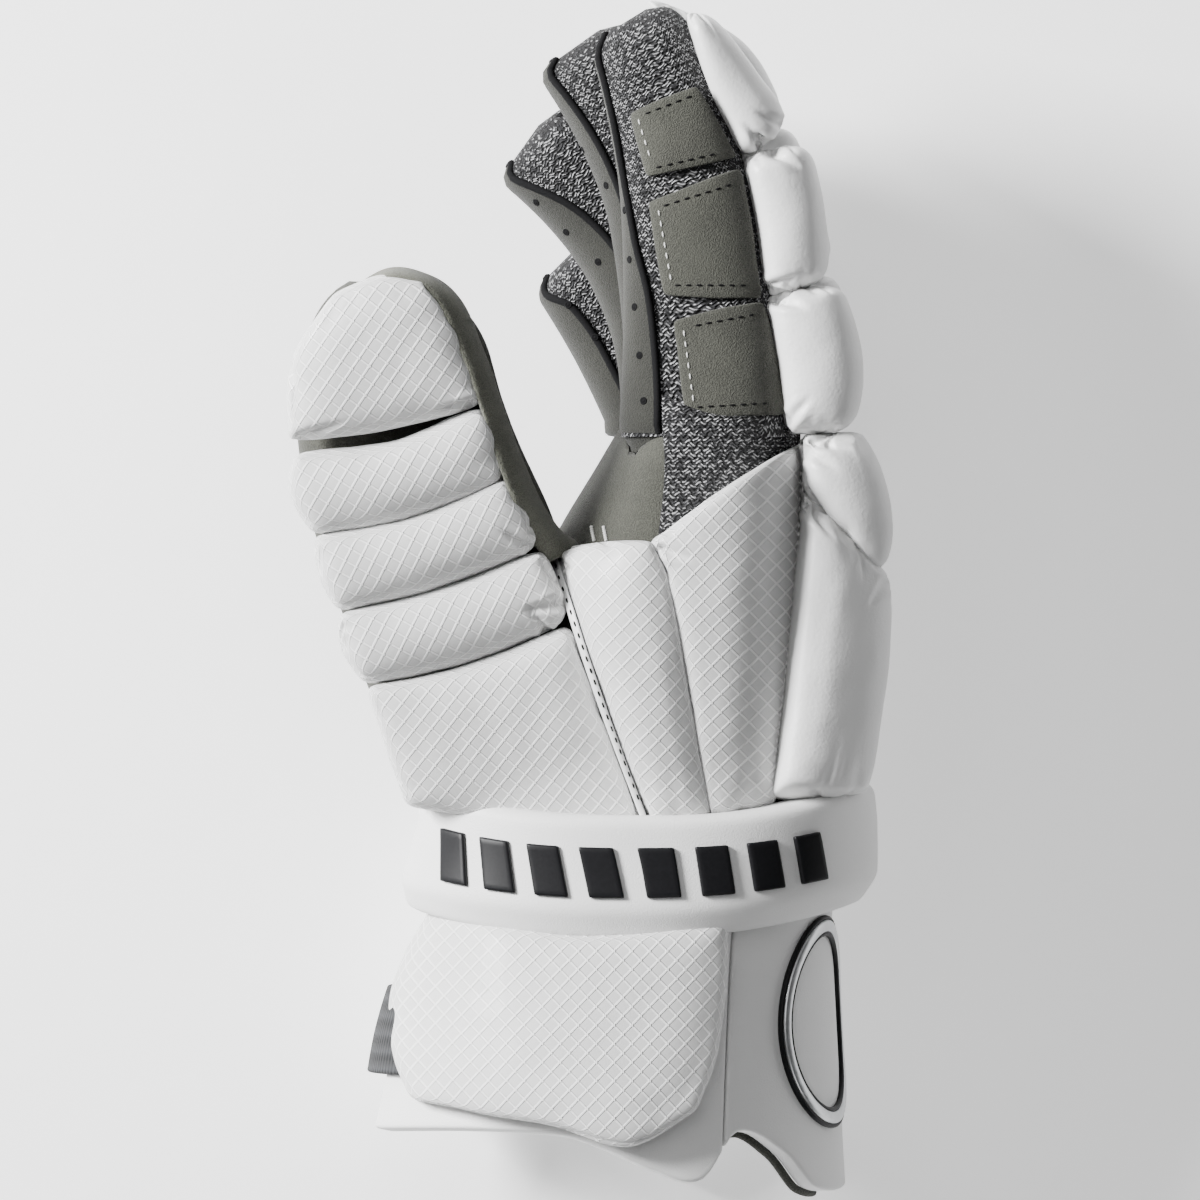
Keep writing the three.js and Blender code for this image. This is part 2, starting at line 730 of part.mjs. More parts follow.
for (const { name, side } of SIDES) {
  const cuffPad = cut(pad(CUFF_OUTLINE, cuffSide(side), CUFF_PAD, 24, SUNK), aroundCuff);
  addPiece(`cuff_${name}_pad`, side < 0 ? restOnFloor(cuffPad) : cuffPad, gridCloth);
}

// Elastic webbing across the open palm side
const STRAP_MIDDLE = CUFF_LENGTH * 0.64;
const STRAP_TURN = 31;
const strap = plate(onHand, {
  from: 180 - STRAP_TURN, to: 180 + STRAP_TURN, columns: 8, rows: 2,
  low: PANEL_OUT + SEAT, high: PANEL_OUT + SEAT + LEATHER,
  bottom: () => STRAP_MIDDLE - STRAP_WIDTH / 2,
  top: () => STRAP_MIDDLE + STRAP_WIDTH / 2,
});
addPiece("palm_strap", strap, webbing);

// A plain silver ring on the shield
const BADGE_TURN = 17;
const BADGE_Y = CUFF_LENGTH * 0.68;
const BADGE_SIDES = 28;
const degreesOf = (arc) => THREE.MathUtils.radToDeg(arc / (BACK_REACH + PANEL_OUT));
const badgePoints = [];
const badgeFaces = [];
for (let side = 0; side < BADGE_SIDES; side += 1) {
  const angle = (side / BADGE_SIDES) * Math.PI * 2;
  const inner = BADGE_RADIUS - BADGE_RIM;
  const onShield = (radius, offset) => {
    const turn = BADGE_TURN + degreesOf(radius * Math.cos(angle));
    return onHand(turn, BADGE_Y + radius * Math.sin(angle), PANEL_OUT + SEAT + offset);
  };
  badgePoints.push(onShield(inner, 0), onShield(BADGE_RADIUS, 0));
  badgePoints.push(onShield(BADGE_RADIUS, BADGE_RISE), onShield(inner, BADGE_RISE));
  const here = side * 4;
  const next = ((side + 1) % BADGE_SIDES) * 4;
  for (let corner = 0; corner < 4; corner += 1) {
    const after = (corner + 1) % 4;
    badgeFaces.push([here + corner, next + corner, next + after]);
    badgeFaces.push([here + corner, next + after, here + after]);
  }
}
addPiece("badge_ring", body(badgePoints, badgeFaces), silver);

// The origin is the middle of the bottom of the whole glove
const box = new THREE.Box3().setFromObject(glove, true);
glove.position.set(-(box.min.x + box.max.x) / 2, -(box.min.y + box.max.y) / 2, -box.min.z);
glove.updateMatrixWorld(true);

export default glove;
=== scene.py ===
"""A right-hand lacrosse glove that lies on its little-finger side, fingers up the picture."""
import math
import random

import bpy
import numpy as np
from bpy.props import FloatProperty, FloatVectorProperty, IntProperty, PointerProperty
from mathutils import Matrix, Vector, noise
from mathutils.bvhtree import BVHTree


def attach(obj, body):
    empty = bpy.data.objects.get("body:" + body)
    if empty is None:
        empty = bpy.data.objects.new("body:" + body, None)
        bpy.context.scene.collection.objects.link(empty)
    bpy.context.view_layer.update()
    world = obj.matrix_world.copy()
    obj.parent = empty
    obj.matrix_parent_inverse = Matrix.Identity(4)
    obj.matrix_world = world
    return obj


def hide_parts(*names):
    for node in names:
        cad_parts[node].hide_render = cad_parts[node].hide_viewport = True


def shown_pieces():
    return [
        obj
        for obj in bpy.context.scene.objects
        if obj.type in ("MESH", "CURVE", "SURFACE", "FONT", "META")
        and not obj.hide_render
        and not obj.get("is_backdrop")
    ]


bl_info = {
    "name": "Lacrosse Glove",
    "version": (1, 0, 0),
    "blender": (4, 5, 0),
    "location": "View3D > Sidebar > Glove",
    "description": "Dresses the solids of a lacrosse glove in suede, knit, padded cloth and moulded foam",
    "category": "Object",
}

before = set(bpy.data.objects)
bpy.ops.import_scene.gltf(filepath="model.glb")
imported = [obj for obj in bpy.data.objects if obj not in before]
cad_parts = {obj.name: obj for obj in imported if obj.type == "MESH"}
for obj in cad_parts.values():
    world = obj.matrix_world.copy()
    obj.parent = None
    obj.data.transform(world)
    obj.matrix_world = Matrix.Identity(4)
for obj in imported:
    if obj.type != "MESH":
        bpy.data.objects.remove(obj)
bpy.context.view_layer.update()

# The glove's own sizes, in millimetres. Y is 0 at the cuff's edge and Z is 0 on the floor.
CUFF_LENGTH = 69.0
BAND_HEIGHT = 34.0
HAND_LENGTH = 109.0
MIDDLE_LENGTH = 117.0
THUMB_LENGTH = 143.0
BACK_REACH = 60.0
PALM_REACH = 64.0
HAND_WIDTH = 110.0
FINGER_PITCH = 27.0
FINGER_WIDTH = 26.5
FINGER_DEPTH = 45.0
THUMB_WIDTH = 54.0
THUMB_DEPTH = 28.0
LEATHER = 2.0
MOULDING = 6.0
BAND_PAD = 12.0
ROLL_PAD = 20.0
THUMB_PAD = 18.0
WEDGE_PAD = 15.0
CUFF_PAD = 11.0
ULNAR_PAD = 12.0
STRAP_WIDTH = 24.0
BADGE_RADIUS = 28.5
BADGE_RIM = 3.4
GAP = 0.3
SEAT = 0.5
BAND_TOP = CUFF_LENGTH + BAND_HEIGHT
KNUCKLES = BAND_TOP + HAND_LENGTH
HAND_Z = HAND_WIDTH / 2 + 2
PANEL_OUT = SEAT + MOULDING
BAND_IN = PANEL_OUT + SEAT
BAND_OUT = BAND_IN + BAND_PAD
TURN_STEP = 9.5

# The middle of the glove's box, and the picture's scale
MIDDLE = (3.527, -166.777)
PICTURE = 1200
PICTURE_FOOT = 1188
PIXEL = 0.28

# Hand and cuff sections: place along the hand, reach of the back and the palm, width, squareness
SECTIONS = [
    (0.0, 1.04, 1.0, 0.94, 2.1),
    (CUFF_LENGTH, 0.98, 0.74, 0.76, 2.3),
    (BAND_TOP, 0.98, 0.58, 0.75, 2.5),
    (BAND_TOP + HAND_LENGTH * 0.25, 0.93, 0.52, 0.86, 2.6),
    (BAND_TOP + HAND_LENGTH * 0.7, 0.93, 0.22, 0.98, 2.7),
    (KNUCKLES, 0.92, -0.08, 1.0, 2.8),
]
# The hem of the cuff panels: turn, height as a share of the cuff's length
HEM = [(0, 0), (28, 0.01), (42, 0.16), (57, 0.24), (66, 0.05), (78, 0.09), (100, 0.23), (172, 0.23)]
DIP = 9.0
BAND_LIFT = 11.0
PANEL_SPLIT = 60.5
PANEL_END = 17 * TURN_STEP
STALL_POWER = 2.6
# How far each tip leans back, how much its palm side flares and its back side is trimmed, and where
# its palm side starts to round off
TIPS = {"index": (9.0, 0.22, 0.3, 0.93), "middle": (-2.0, 0.44, 0.1, 0.93), "ring": (-1.0, 0.28, 0.1, 0.93),
        "pinky": (3.0, 0.08, 0.1, 0.9), "thumb": (0.0, 0.0, 0.0, 0.7)}
ROOT_SHARE = 0.24


def metres(x, y, z):
    return Vector(((x + MIDDLE[0]) / 1000, (y + MIDDLE[1]) / 1000, z / 1000))


def spot(column, row):
    """The glove's x and y, in millimetres, of a place in the camera's picture"""
    return (column - PICTURE / 2) * PIXEL, (PICTURE_FOOT - row) * PIXEL


def in_glove(edges):
    return [[spot(*place) for place in edge] for edge in edges]


def mix(low, high, share):
    return low + (high - low) * share


def clamp(value, low, high):
    return min(max(value, low), high)


def power(value, exponent):
    return math.copysign(abs(value) ** exponent, value)


def rounded(share, start, exponent):
    """A tip's scale: 1 before the start and rounded off to almost 0 at the end"""
    past = clamp((share - start) / (1 - start), 0, 1)
    return max((1 - past ** exponent) ** (1 / exponent), 0.001)


def follow(rows, at, column):
    """A smooth value through the rows of a table"""
    row = 0
    while row < len(rows) - 2 and at > rows[row + 1][0]:
        row += 1
    low, high = rows[row], rows[row + 1]
    span = high[0] - low[0]
    share = clamp((at - low[0]) / span, 0, 1)

    def slope(number):
        before, after = rows[max(number - 1, 0)], rows[min(number + 1, len(rows) - 1)]
        return (after[column] - before[column]) / (after[0] - before[0]) * span

    square, cube = share ** 2, share ** 3
    return (low[column] * (2 * cube - 3 * square + 1) + slope(row) * (cube - 2 * square + share)
            + high[column] * (3 * square - 2 * cube) + slope(row + 1) * (cube - square))


def section_at(y):
    """Centre, half depth, half width and squareness of the hand at a place along it"""
    back = BACK_REACH * follow(SECTIONS, y, 1)
    palm = PALM_REACH * follow(SECTIONS, y, 2)
    return ((back - palm) / 2, (back + palm) / 2, HAND_WIDTH * follow(SECTIONS, y, 3) / 2,
            follow(SECTIONS, y, 4))


def on_hand(turn, y, offset):
    """A point over the hand's surface: turn 0 is the back, 90 the thumb side, 180 the palm"""
    centre, depth, width, squareness = section_at(y)
    angle = math.radians(turn)
    return metres(centre + power(math.cos(angle), 2 / squareness) * (depth + offset), y,
                  HAND_Z + power(math.sin(angle), 2 / squareness) * (width + offset))


def hem(turn):
    return CUFF_LENGTH * follow(HEM, abs(turn), 1)


def band_low(turn):
    return CUFF_LENGTH + BAND_LIFT - DIP * math.sin(math.radians(turn)) ** 2


class Limb:
    """A finger or the thumb: a line that bends in the plane of the hand's side"""

    def __init__(self, name, x, y, z, tip_z, length, depths, width, tilts):
        self.name, self.x, self.y, self.z, self.tip_z = name, x, y, z, tip_z
        self.length, self.depths, self.width, self.tilts = length, depths, width, tilts
        self.found = {}

    def tilt(self, share):
        scaled = clamp(share, 0, 1) * 2
        joint = min(int(scaled), 1)
        return math.radians(mix(self.tilts[joint], self.tilts[joint + 1], scaled - joint))

    def at(self, share):
        """Middle, direction along, direction to the back and half depth"""
        key = round(share, 5)
        if key not in self.found:
            x, y, steps = self.x, self.y, 16
            for step in range(steps):
                tilt = self.tilt((step + 0.5) / steps * share)
                x -= math.sin(tilt) * self.length * share / steps
                y += math.cos(tilt) * self.length * share / steps
            tilt = self.tilt(share)
            self.found[key] = (
                (x, y, mix(self.z, self.tip_z, share)), (-math.sin(tilt), math.cos(tilt)),
                (math.cos(tilt), math.sin(tilt)), mix(*self.depths, share) / 2)
        return self.found[key]

    def beside(self, share, across, up, shift=0.0):
        """A place across the limb towards its back, and above it. Near the root sections are level."""
        (x, y, z), along, back, _ = self.at(share)
        shift -= back[1] * across * max(1 - share / ROOT_SHARE, 0) / along[1]
        return x + back[0] * across + along[0] * shift, y + back[1] * across + along[1] * shift, z + up

    def skin(self, turn, share, offset, closed=False):
        """A point over the limb's surface: turn 0 is its back and 180 its palm side"""
        angle = math.radians(turn)
        across = power(math.cos(angle), 2 / STALL_POWER)
        up = power(math.sin(angle), 2 / STALL_POWER)
        half, tall, slant = self.at(share)[3], 1.0, 0.0
        if closed:
            lean, flare, trim, square = TIPS[self.name]
            past = clamp((share - 0.55) / 0.45, 0, 1)
            tall = rounded(share, 0.82, 2.6)
            half *= (rounded(share, square, 2.6) * (1 + flare * past ** 1.5) if across < 0
                     else rounded(share, 0.82, 2.6) * (1 - trim * past))
            slant = lean * past * tall
        across *= half + offset
        return metres(*self.beside(share, across, up * (self.width / 2 * tall + offset),
                                   slant * across / (2 * self.at(share)[3])))

    def nearest(self, x, y):
        """The share of the limb's length that lies nearest to a place"""
        shares = [number / 60 for number in range(61)]
        return min(shares, key=lambda share: math.hypot(self.at(share)[0][0] - x, self.at(share)[0][1] - y))


def finger(name, place, x, length, root, tip, *tilts):
    z = HAND_Z + place * FINGER_PITCH
    return Limb(name, x, KNUCKLES + GAP, z, z, length * MIDDLE_LENGTH,
                (root * FINGER_DEPTH, tip * FINGER_DEPTH), FINGER_WIDTH, tilts)


PINKY = finger("pinky", -1.5, 25.2, 0.52, 0.9, 0.58, 28, 34, 38)
RING = finger("ring", -0.5, 28.5, 0.86, 0.98, 0.64, 0, 31, 50)
MIDDLE_FINGER = finger("middle", 0.5, 30.2, 1.0, 1.0, 0.64, 2, 14, 31)
INDEX = finger("index", 1.5, 28.6, 1.01, 1.0, 0.62, 0, 7, 17)
FINGERS = [PINKY, RING, MIDDLE_FINGER, INDEX]
THUMB = Limb("thumb", -22.5, BAND_TOP + 10.5, HAND_Z + 20, HAND_Z + 46, THUMB_LENGTH,
             (THUMB_WIDTH * 1.14, THUMB_WIDTH * 0.9), THUMB_DEPTH, (22, 22, -6))


# Shader arithmetic
def arithmetic(operation, turned=False):
    """A method that adds a Math node for a value and another"""
    def step(self, other):
        return self.math(operation, *((other, self) if turned else (self, other)))
    return step


class Wire:
    """A shader value. Arithmetic on it adds the Math nodes."""

    def __init__(self, paint, socket):
        self.paint, self.socket = paint, socket

    def math(self, operation, *values):
        return self.paint.node("ShaderNodeMath", {"operation": operation}, *values)

    __add__ = __radd__ = arithmetic("ADD")
    __mul__ = __rmul__ = arithmetic("MULTIPLY")
    __sub__ = arithmetic("SUBTRACT")
    __rsub__ = arithmetic("SUBTRACT", True)
    __truediv__ = arithmetic("DIVIDE")
    larger = arithmetic("MAXIMUM")
    # Distance to the nearest whole multiple of twice a width
    fold = arithmetic("PINGPONG")

    def sine(self):
        return self.math("SINE", self)

    def ramp(self, low, high):
        """Smoothly from 0 at low to 1 at high"""
        return self.paint.node("ShaderNodeMapRange", {"interpolation_type": "SMOOTHSTEP"}, self, low, high)


class Paint:
    """A procedural material around one Principled shader"""

    def __init__(self, name, roughness=0.5, metallic=0.0, **fixed):
        self.material = bpy.data.materials.new(name)
        self.material.use_nodes = True
        self.tree = self.material.node_tree
        self.shader = self.tree.nodes["Principled BSDF"]
        self.shader.inputs["Roughness"].default_value = roughness
        self.shader.inputs["Metallic"].default_value = metallic
        for socket, value in fixed.items():
            self.shader.inputs[socket.replace("_", " ")].default_value = value

    def node(self, kind, settings, *values, out=0, **named):
        made = self.tree.nodes.new(kind)
        for key, value in settings.items():
            setattr(made, key, value)
        pairs = [*zip(made.inputs, values), *((made.inputs[key], value) for key, value in named.items())]
        for socket, value in pairs:
            if isinstance(value, Wire):
                self.tree.links.new(value.socket, socket)
            elif value is not None:
                socket.default_value = value
        return Wire(self, made.outputs[out])

    def place(self):
        """The point's own place, in metres"""
        return self.node("ShaderNodeTexCoord", {}, out=3)

    def cloth(self):
        """The place on the laid-out cloth, in metres, as two values"""
        uv = self.node("ShaderNodeUVMap", {"uv_map": "cloth"})
        apart = self.node("ShaderNodeSeparateXYZ", {}, uv)
        return apart, Wire(self, apart.socket.node.outputs[1]), uv

    def grain(self, scale, detail=2.0, at=None):
        return self.node("ShaderNodeTexNoise", {}, at or self.place(), Scale=scale, Detail=detail)

    def blend(self, share, low, high):
        """Two colours by a share"""
        made = self.node("ShaderNodeMix", {"data_type": "RGBA"}, share, out=2)
        node = made.socket.node
        for socket, value in ((node.inputs[6], low), (node.inputs[7], high)):
            if isinstance(value, Wire):
                self.tree.links.new(value.socket, socket)
            else:
                socket.default_value = (*value, 1.0)
        return made

    def finish(self, color, height, depth, roughness=None):
        """Feeds the colour and the bump of a given depth in metres"""
        bump = self.node("ShaderNodeBump", {}, 1.0, Distance=depth, Height=height)
        self.tree.links.new(bump.socket, self.shader.inputs["Normal"])
        self.tree.links.new(color.socket, self.shader.inputs["Base Color"])
        if roughness is not None:
            self.tree.links.new(roughness.socket, self.shader.inputs["Roughness"])
        return self.material


KNIT_PITCH = 0.00145


def suede_paint(name, colors, tone):
    """Napped suede in the suede colour times a tone. A tone under 1 is painted shade and a tone over 1 is
    painted light.
    """
    paint = Paint(name, 0.92, Sheen_Weight=0.1, Sheen_Roughness=0.5)
    patch = paint.grain(70, 3).ramp(0.35, 0.65)
    nap = paint.grain(2400, 2).ramp(0.32, 0.68)
    base = Vector(colors.suede) * tone
    color = paint.blend(patch * 0.25 + nap * 0.75, base * 0.68, base * 1.32)
    return paint.finish(color, nap, 0.00016)


def knit_paint(colors):
    """Coarse knit: rows of dark holes between two yarns. At the closed tips its loops lie unevenly."""
    paint = Paint("knit_mesh", 0.85)
    across, along, _ = paint.cloth()
    row, column = along / KNIT_PITCH, across / KNIT_PITCH
    shift = (row * math.pi).sine()
    wave = (column * math.pi + shift * 1.2).sine()
    yarn = wave * (row * math.pi * 2 + (column * math.pi).sine() * 1.4).sine()
    tip = paint.node("ShaderNodeAttribute", {"attribute_name": "tip"}, out=2)
    loops = paint.node("ShaderNodeTexVoronoi", {}, paint.place(), Scale=1 / 0.0012, Randomness=0.7)
    yarn = yarn * (1 - tip) + (0.9 - loops * 2.2) * tip
    heather = paint.grain(620, 3).ramp(0.44, 0.56)
    light = paint.blend(heather, colors.knit_dark, colors.knit_light)
    color = paint.blend(yarn.ramp(-0.05, 0.5), Vector(colors.knit_dark) * 0.2, light)
    return paint.finish(color, yarn, 0.0006)


def grid_paint(colors, sizes):
    """White cloth with a pale raised diagonal grid"""
    paint = Paint("grid_cloth", 0.45, Coat_Weight=0.05)
    across, along, uv = paint.cloth()
    column, row = across / sizes.grid_cell, along / (sizes.grid_cell * 1.04)
    one, two = (column + row + 100).fold(0.5), (column - row + 100).fold(0.5)
    lines = (1 - one.ramp(0.055, 0.12)).larger(1 - two.ramp(0.055, 0.12))
    node = 1 - (one + two).ramp(0.13, 0.22)
    thread = paint.grain(1500, 1, uv)
    base = Vector(colors.white)
    ground = paint.blend(paint.grain(45, 2), base * 0.76, base * 0.82)
    color = paint.blend(lines.larger(node), ground, base * 1.1)
    height = lines * 0.6 + node * 0.4 + thread * 0.1
    return paint.finish(color, height, 0.00034, 0.5 - lines * 0.08 + thread * 0.06)


def clouded(paint, base, fine, cloud, tones, share):
    """A colour between two tones by clouds and a fine grain, and with it the grain and the clouds"""
    fine, cloud = paint.grain(*fine), paint.grain(*cloud)
    dark, light = (Vector(base) * tone for tone in tones)
    return paint.blend(cloud * share + fine * (1 - share), dark, light), fine, cloud


def smooth_paint(colors):
    """Smooth coated cloth with a fine grain"""
    paint = Paint("smooth_white", 0.42, Coat_Weight=0.08, Coat_Roughness=0.3)
    color, grain, cloud = clouded(paint, colors.white, (900, 3), (30, 3), (0.95, 1.03), 0.7)
    crease = paint.grain(160, 4)
    return paint.finish(color, grain * 0.35 + crease * 0.5, 0.0003, 0.36 + cloud * 0.14)


def moulded_paint(colors):
    """Moulded foam with a soft skin"""
    paint = Paint("moulded_white", 0.5)
    color, skin, cloud = clouded(paint, colors.moulded, (2200, 2), (18, 3), (0.96, 1.02), 0.6)
    return paint.finish(color, skin, 0.00012, 0.44 + cloud * 0.14)


def webbing_paint(colors):
    """Elastic with ribs along it"""
    paint = Paint("webbing", 0.85)
    across, along, uv = paint.cloth()
    rib = (along / 0.0024 * math.pi).sine()
    weave = (across / 0.0009 * math.pi).sine() * 0.3
    fluff = paint.grain(900, 2, uv)
    base = Vector(colors.webbing)
    color = paint.blend((rib * 0.5 + 0.5) * 0.7 + fluff * 0.3, base * 0.4, base * 1.6)
    return paint.finish(color, rib + weave, 0.0005)


def plain_paint(name, color, grain, tones, depth, shine=None, roughness=0.85, metallic=0.0, **fixed):
    """One colour between two tones by a fine noise. shine is the least roughness and what noise adds."""
    paint = Paint(name, roughness, metallic, **fixed)
    speck = paint.grain(*grain)
    shade = paint.blend(speck, *(Vector(color) * tone for tone in tones))
    return paint.finish(shade, speck, depth, speck * shine[1] + shine[0] if shine else None)


PAINTS = {}


def mix_paints():
    """Every paint, by its material's name"""
    colors, sizes = bpy.context.scene.glove_colors, bpy.context.scene.glove_sizes
    # The strip suede is darkened by painted shade and the rim suede is lightened by painted light
    for name, tone in (("suede", 1.0), ("suede_strip_painted_shade", 0.42), ("suede_rim_painted_light", 2.4)):
        PAINTS[name] = suede_paint(name, colors, tone)
    threads = {"dark_thread_and_hole_shade": colors.dark_thread_and_hole_shade, "pale_thread": colors.pale_thread,
               "dark_binding": Vector(colors.dark_thread_and_hole_shade) * 1.2}
    for name, color in threads.items():
        PAINTS[name] = plain_paint(name, color, (1800, 1), (0.7, 1.2), 0.0001, Specular_IOR_Level=0.12)
    PAINTS["silver_ring"] = plain_paint("silver_ring", colors.silver, (500, 3), (0.85, 1.1), 0.00006,
                                        (0.26, 0.14), 0.32, 0.85)
    PAINTS["gloss_black"] = plain_paint("gloss_black", colors.black, (1200, 2), (0.8, 1.4), 0.00001,
                                        (0.36, 0.12), 0.4, Specular_IOR_Level=0.18)
    PAINTS.update(knit_mesh=knit_paint(colors), grid_cloth=grid_paint(colors, sizes),
                  smooth_white=smooth_paint(colors), moulded_white=moulded_paint(colors),
                  webbing=webbing_paint(colors))


# Mesh helpers
def only(piece):
    bpy.ops.object.select_all(action="DESELECT")
    piece.select_set(True)
    bpy.context.view_layer.objects.active = piece


def vectors(data, name, kind=float):
    """One row of three values for each entry of a mesh's list"""
    found = np.empty(len(data) * 3, kind)
    data.foreach_get(name, found)
    return found.reshape(-1, 3)


def points_of(piece):
    return vectors(piece.data.vertices, "co")


def normals_of(piece):
    return vectors(piece.data.vertex_normals, "vector", np.float32)


def set_points(piece, points):
    piece.data.vertices.foreach_set("co", np.asarray(points, float).ravel())
    piece.data.update()


def edit(piece, *steps):
    """Runs mesh operators on the whole of a piece. A step is an operator and its settings."""
    only(piece)
    bpy.ops.object.mode_set(mode="EDIT")
    bpy.ops.mesh.select_all(action="SELECT")
    for operator, settings in steps:
        operator(**settings)
    bpy.ops.object.mode_set(mode="OBJECT")


WELD = 0.00005


def weld(piece, threshold=WELD, close=False):
    """Joins points that meet, closes open ends if asked, and turns every face outward"""
    steps = [(bpy.ops.mesh.remove_doubles, {"threshold": threshold})]
    if close:
        steps += [(bpy.ops.mesh.select_all, {"action": "DESELECT"}), (bpy.ops.mesh.select_non_manifold, {}),
                  (bpy.ops.mesh.edge_face_add, {}), (bpy.ops.mesh.select_all, {"action": "SELECT"})]
    edit(piece, *steps, (bpy.ops.mesh.normals_make_consistent, {"inside": False}))


def modify(piece, kind, **settings):
    only(piece)
    made = piece.modifiers.new(kind.lower(), kind)
    for key, value in settings.items():
        setattr(made, key, value)
    bpy.ops.object.modifier_apply(modifier=made.name)


def refine(piece, levels=1):
    modify(piece, "SUBSURF", levels=levels, render_levels=levels)


def lay_cloth(piece, places):
    """Gives each vertex its place on the laid-out cloth, in metres"""
    for layer in list(piece.data.uv_layers):
        piece.data.uv_layers.remove(layer)
    layer = piece.data.uv_layers.new(name="cloth")
    corners = np.empty(len(piece.data.loops), int)
    piece.data.loops.foreach_get("vertex_index", corners)
    layer.data.foreach_set("uv", np.asarray(places, float)[corners].ravel())


def add(operator, name, **settings):
    """Adds a primitive by its operator"""
    bpy.ops.object.select_all(action="DESELECT")
    operator(**settings)
    piece = bpy.context.active_object
    piece.name = name
    return piece


def grid(name, columns, rows, place, size):
    """A grid put in place point by point, from its two shares. size is the cloth's, in metres."""
    piece = add(bpy.ops.mesh.primitive_grid_add, name, x_subdivisions=columns, y_subdivisions=rows, size=1)
    shares = points_of(piece)[:, :2] + 0.5
    lay_cloth(piece, shares * np.array(size))
    set_points(piece, [place(*share) for share in shares])
    return piece


def sew(piece, slot, *nodes, paint=None):
    """Gives a piece its body, its material and the CAD nodes that it stands for"""
    piece.data.materials.clear()
    piece.data.materials.append(PAINTS[paint or slot])
    only(piece)
    bpy.ops.object.shade_smooth()
    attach(piece, "root")
    if nodes:
        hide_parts(*nodes)
    return piece


def pick(piece, edges):
    """Selects only some edges for the next mesh operator"""
    bpy.context.tool_settings.mesh_select_mode = (False, True, False)
    mesh = piece.data
    mesh.vertices.foreach_set("select", [False] * len(mesh.vertices))
    mesh.polygons.foreach_set("select", [False] * len(mesh.polygons))
    mesh.edges.foreach_set("select", edges)
    only(piece)
    bpy.ops.object.mode_set(mode="EDIT")


def lattice(name, cuts):
    """A cube of size 2, cut into its own number of slices along each axis"""
    piece = add(bpy.ops.mesh.primitive_cube_add, name, size=2)
    for axis in range(3):
        points = points_of(piece)
        ends = np.array([edge.vertices[:] for edge in piece.data.edges])
        along = np.abs(points[ends[:, 0], axis] - points[ends[:, 1], axis]) > 0.01
        pick(piece, [bool(one) for one in along])
        bpy.ops.mesh.subdivide(number_cuts=cuts[axis])
        bpy.ops.object.mode_set(mode="OBJECT")
    return piece


# A coordinate past this lies on the outermost layer of a block
OUTERMOST = 0.999
SLICE = 3.4


def soften(raw, half, rounding, corner, profile):
    """Rounds the edges of a block in its coordinates of -1 to 1"""
    eased = raw * 0.45 + np.sin(raw * math.pi / 2) * 0.55
    low, high = (np.array([pair[side] for pair in rounding], float) for side in (0, 1))
    spare = np.minimum(1, half * 1.96 / (low + high))
    low, high = low * spare, high * spare
    past_low = np.maximum(low - (1 + eased) * half, 0) / low
    past_high = np.maximum(high - (1 - eased) * half, 0) / high
    past = past_low + past_high
    plan = (past[:, 0] ** corner + past[:, 1] ** corner) ** (profile / corner)
    curved = past / np.maximum((plan + past[:, 2] ** profile) ** (1 / profile), 1)[:, None]
    soft = np.where(past_high > 0, 1 - high * (1 - curved) / half, eased)
    return np.where(past_low > 0, low * (1 - curved) / half - 1, soft)


def unfold(points, raw, soft, half, turned):
    """Each point's place on the cloth: seen from above, and past the rims what hangs down from them"""
    ways = [points[raw[:, n] > OUTERMOST].mean(0)[:2] - points[raw[:, n] < -OUTERMOST].mean(0)[:2]
            for n in (0, 1)]
    right, top = (way / np.linalg.norm(way) for way in ways)
    away = np.abs(soft[:, 2])
    drop = ((1 - away) * half[2] + np.where(raw[:, 2] < 0, away * half[2] * 2, 0)) / 1000
    edge = np.where(np.abs(raw[:, :2]) > OUTERMOST, np.sign(raw[:, :2]), 0) * drop[:, None]
    flat = points[:, :2] + edge[:, :1] * right + edge[:, 1:] * top
    if turned:
        flat = np.column_stack([flat @ right, flat @ np.array([-right[1], right[0]])])
    return flat


def block(name, place, size, rounding, cuts=None, foot=0.0, corner=4.0, profile=2.0, crown=0.0, turned=False):
    """A box with rounded edges, put in place from coordinates of -1 to 1.

    size is its width, length and thickness and rounding the same, in millimetres. A pair of roundings is for
    the low and the high side. A pad that is sewn down has its own rounding at its foot. A high corner number
    makes its corners crisp in plan. A profile of 2 makes round edges, and one near 1 makes bevels."""
    half = np.array(size) / 2
    piece = lattice(name, cuts or [int(clamp(side / SLICE, 4, 22)) for side in size])
    raw = points_of(piece)
    pairs = [one if isinstance(one, tuple) else (one, one) for one in rounding]
    if foot:
        pairs[2] = (foot, pairs[2][1])
    soft = soften(raw, half, pairs, corner, profile)
    away = np.abs(soft[:, 2])
    bulge = (1 - soft[:, 0] ** 2) * (1 - soft[:, 1] ** 2) * away
    crowned = soft[:, 2] > 0 if foot else 1
    soft[:, 2] += np.sign(soft[:, 2]) * (bulge - away) * crown / half[2] * crowned
    cell = piece.data.attributes.new("cell", "FLOAT_VECTOR", "POINT")
    cell.data.foreach_set("vector", raw.astype(np.float32).ravel())
    sewn = piece.vertex_groups.new(name="sewn")
    held = raw[:, 2 if foot else 0] < -OUTERMOST
    sewn.add([int(number) for number in np.nonzero(held)[0]], 1.0, "REPLACE")
    points = np.array([place(*point) for point in soft])
    set_points(piece, points)
    lay_cloth(piece, unfold(points, raw, soft, half, turned))
    edit(piece, (bpy.ops.mesh.normals_make_consistent, {"inside": False}))
    return piece


SIM_SCALE = 20
SIM_FRAMES = 20
PRESSURE = 4.0
# How far the pads may swell, in metres
ROLL_SWELL = 0.0011
PAD_SWELL = 0.0012


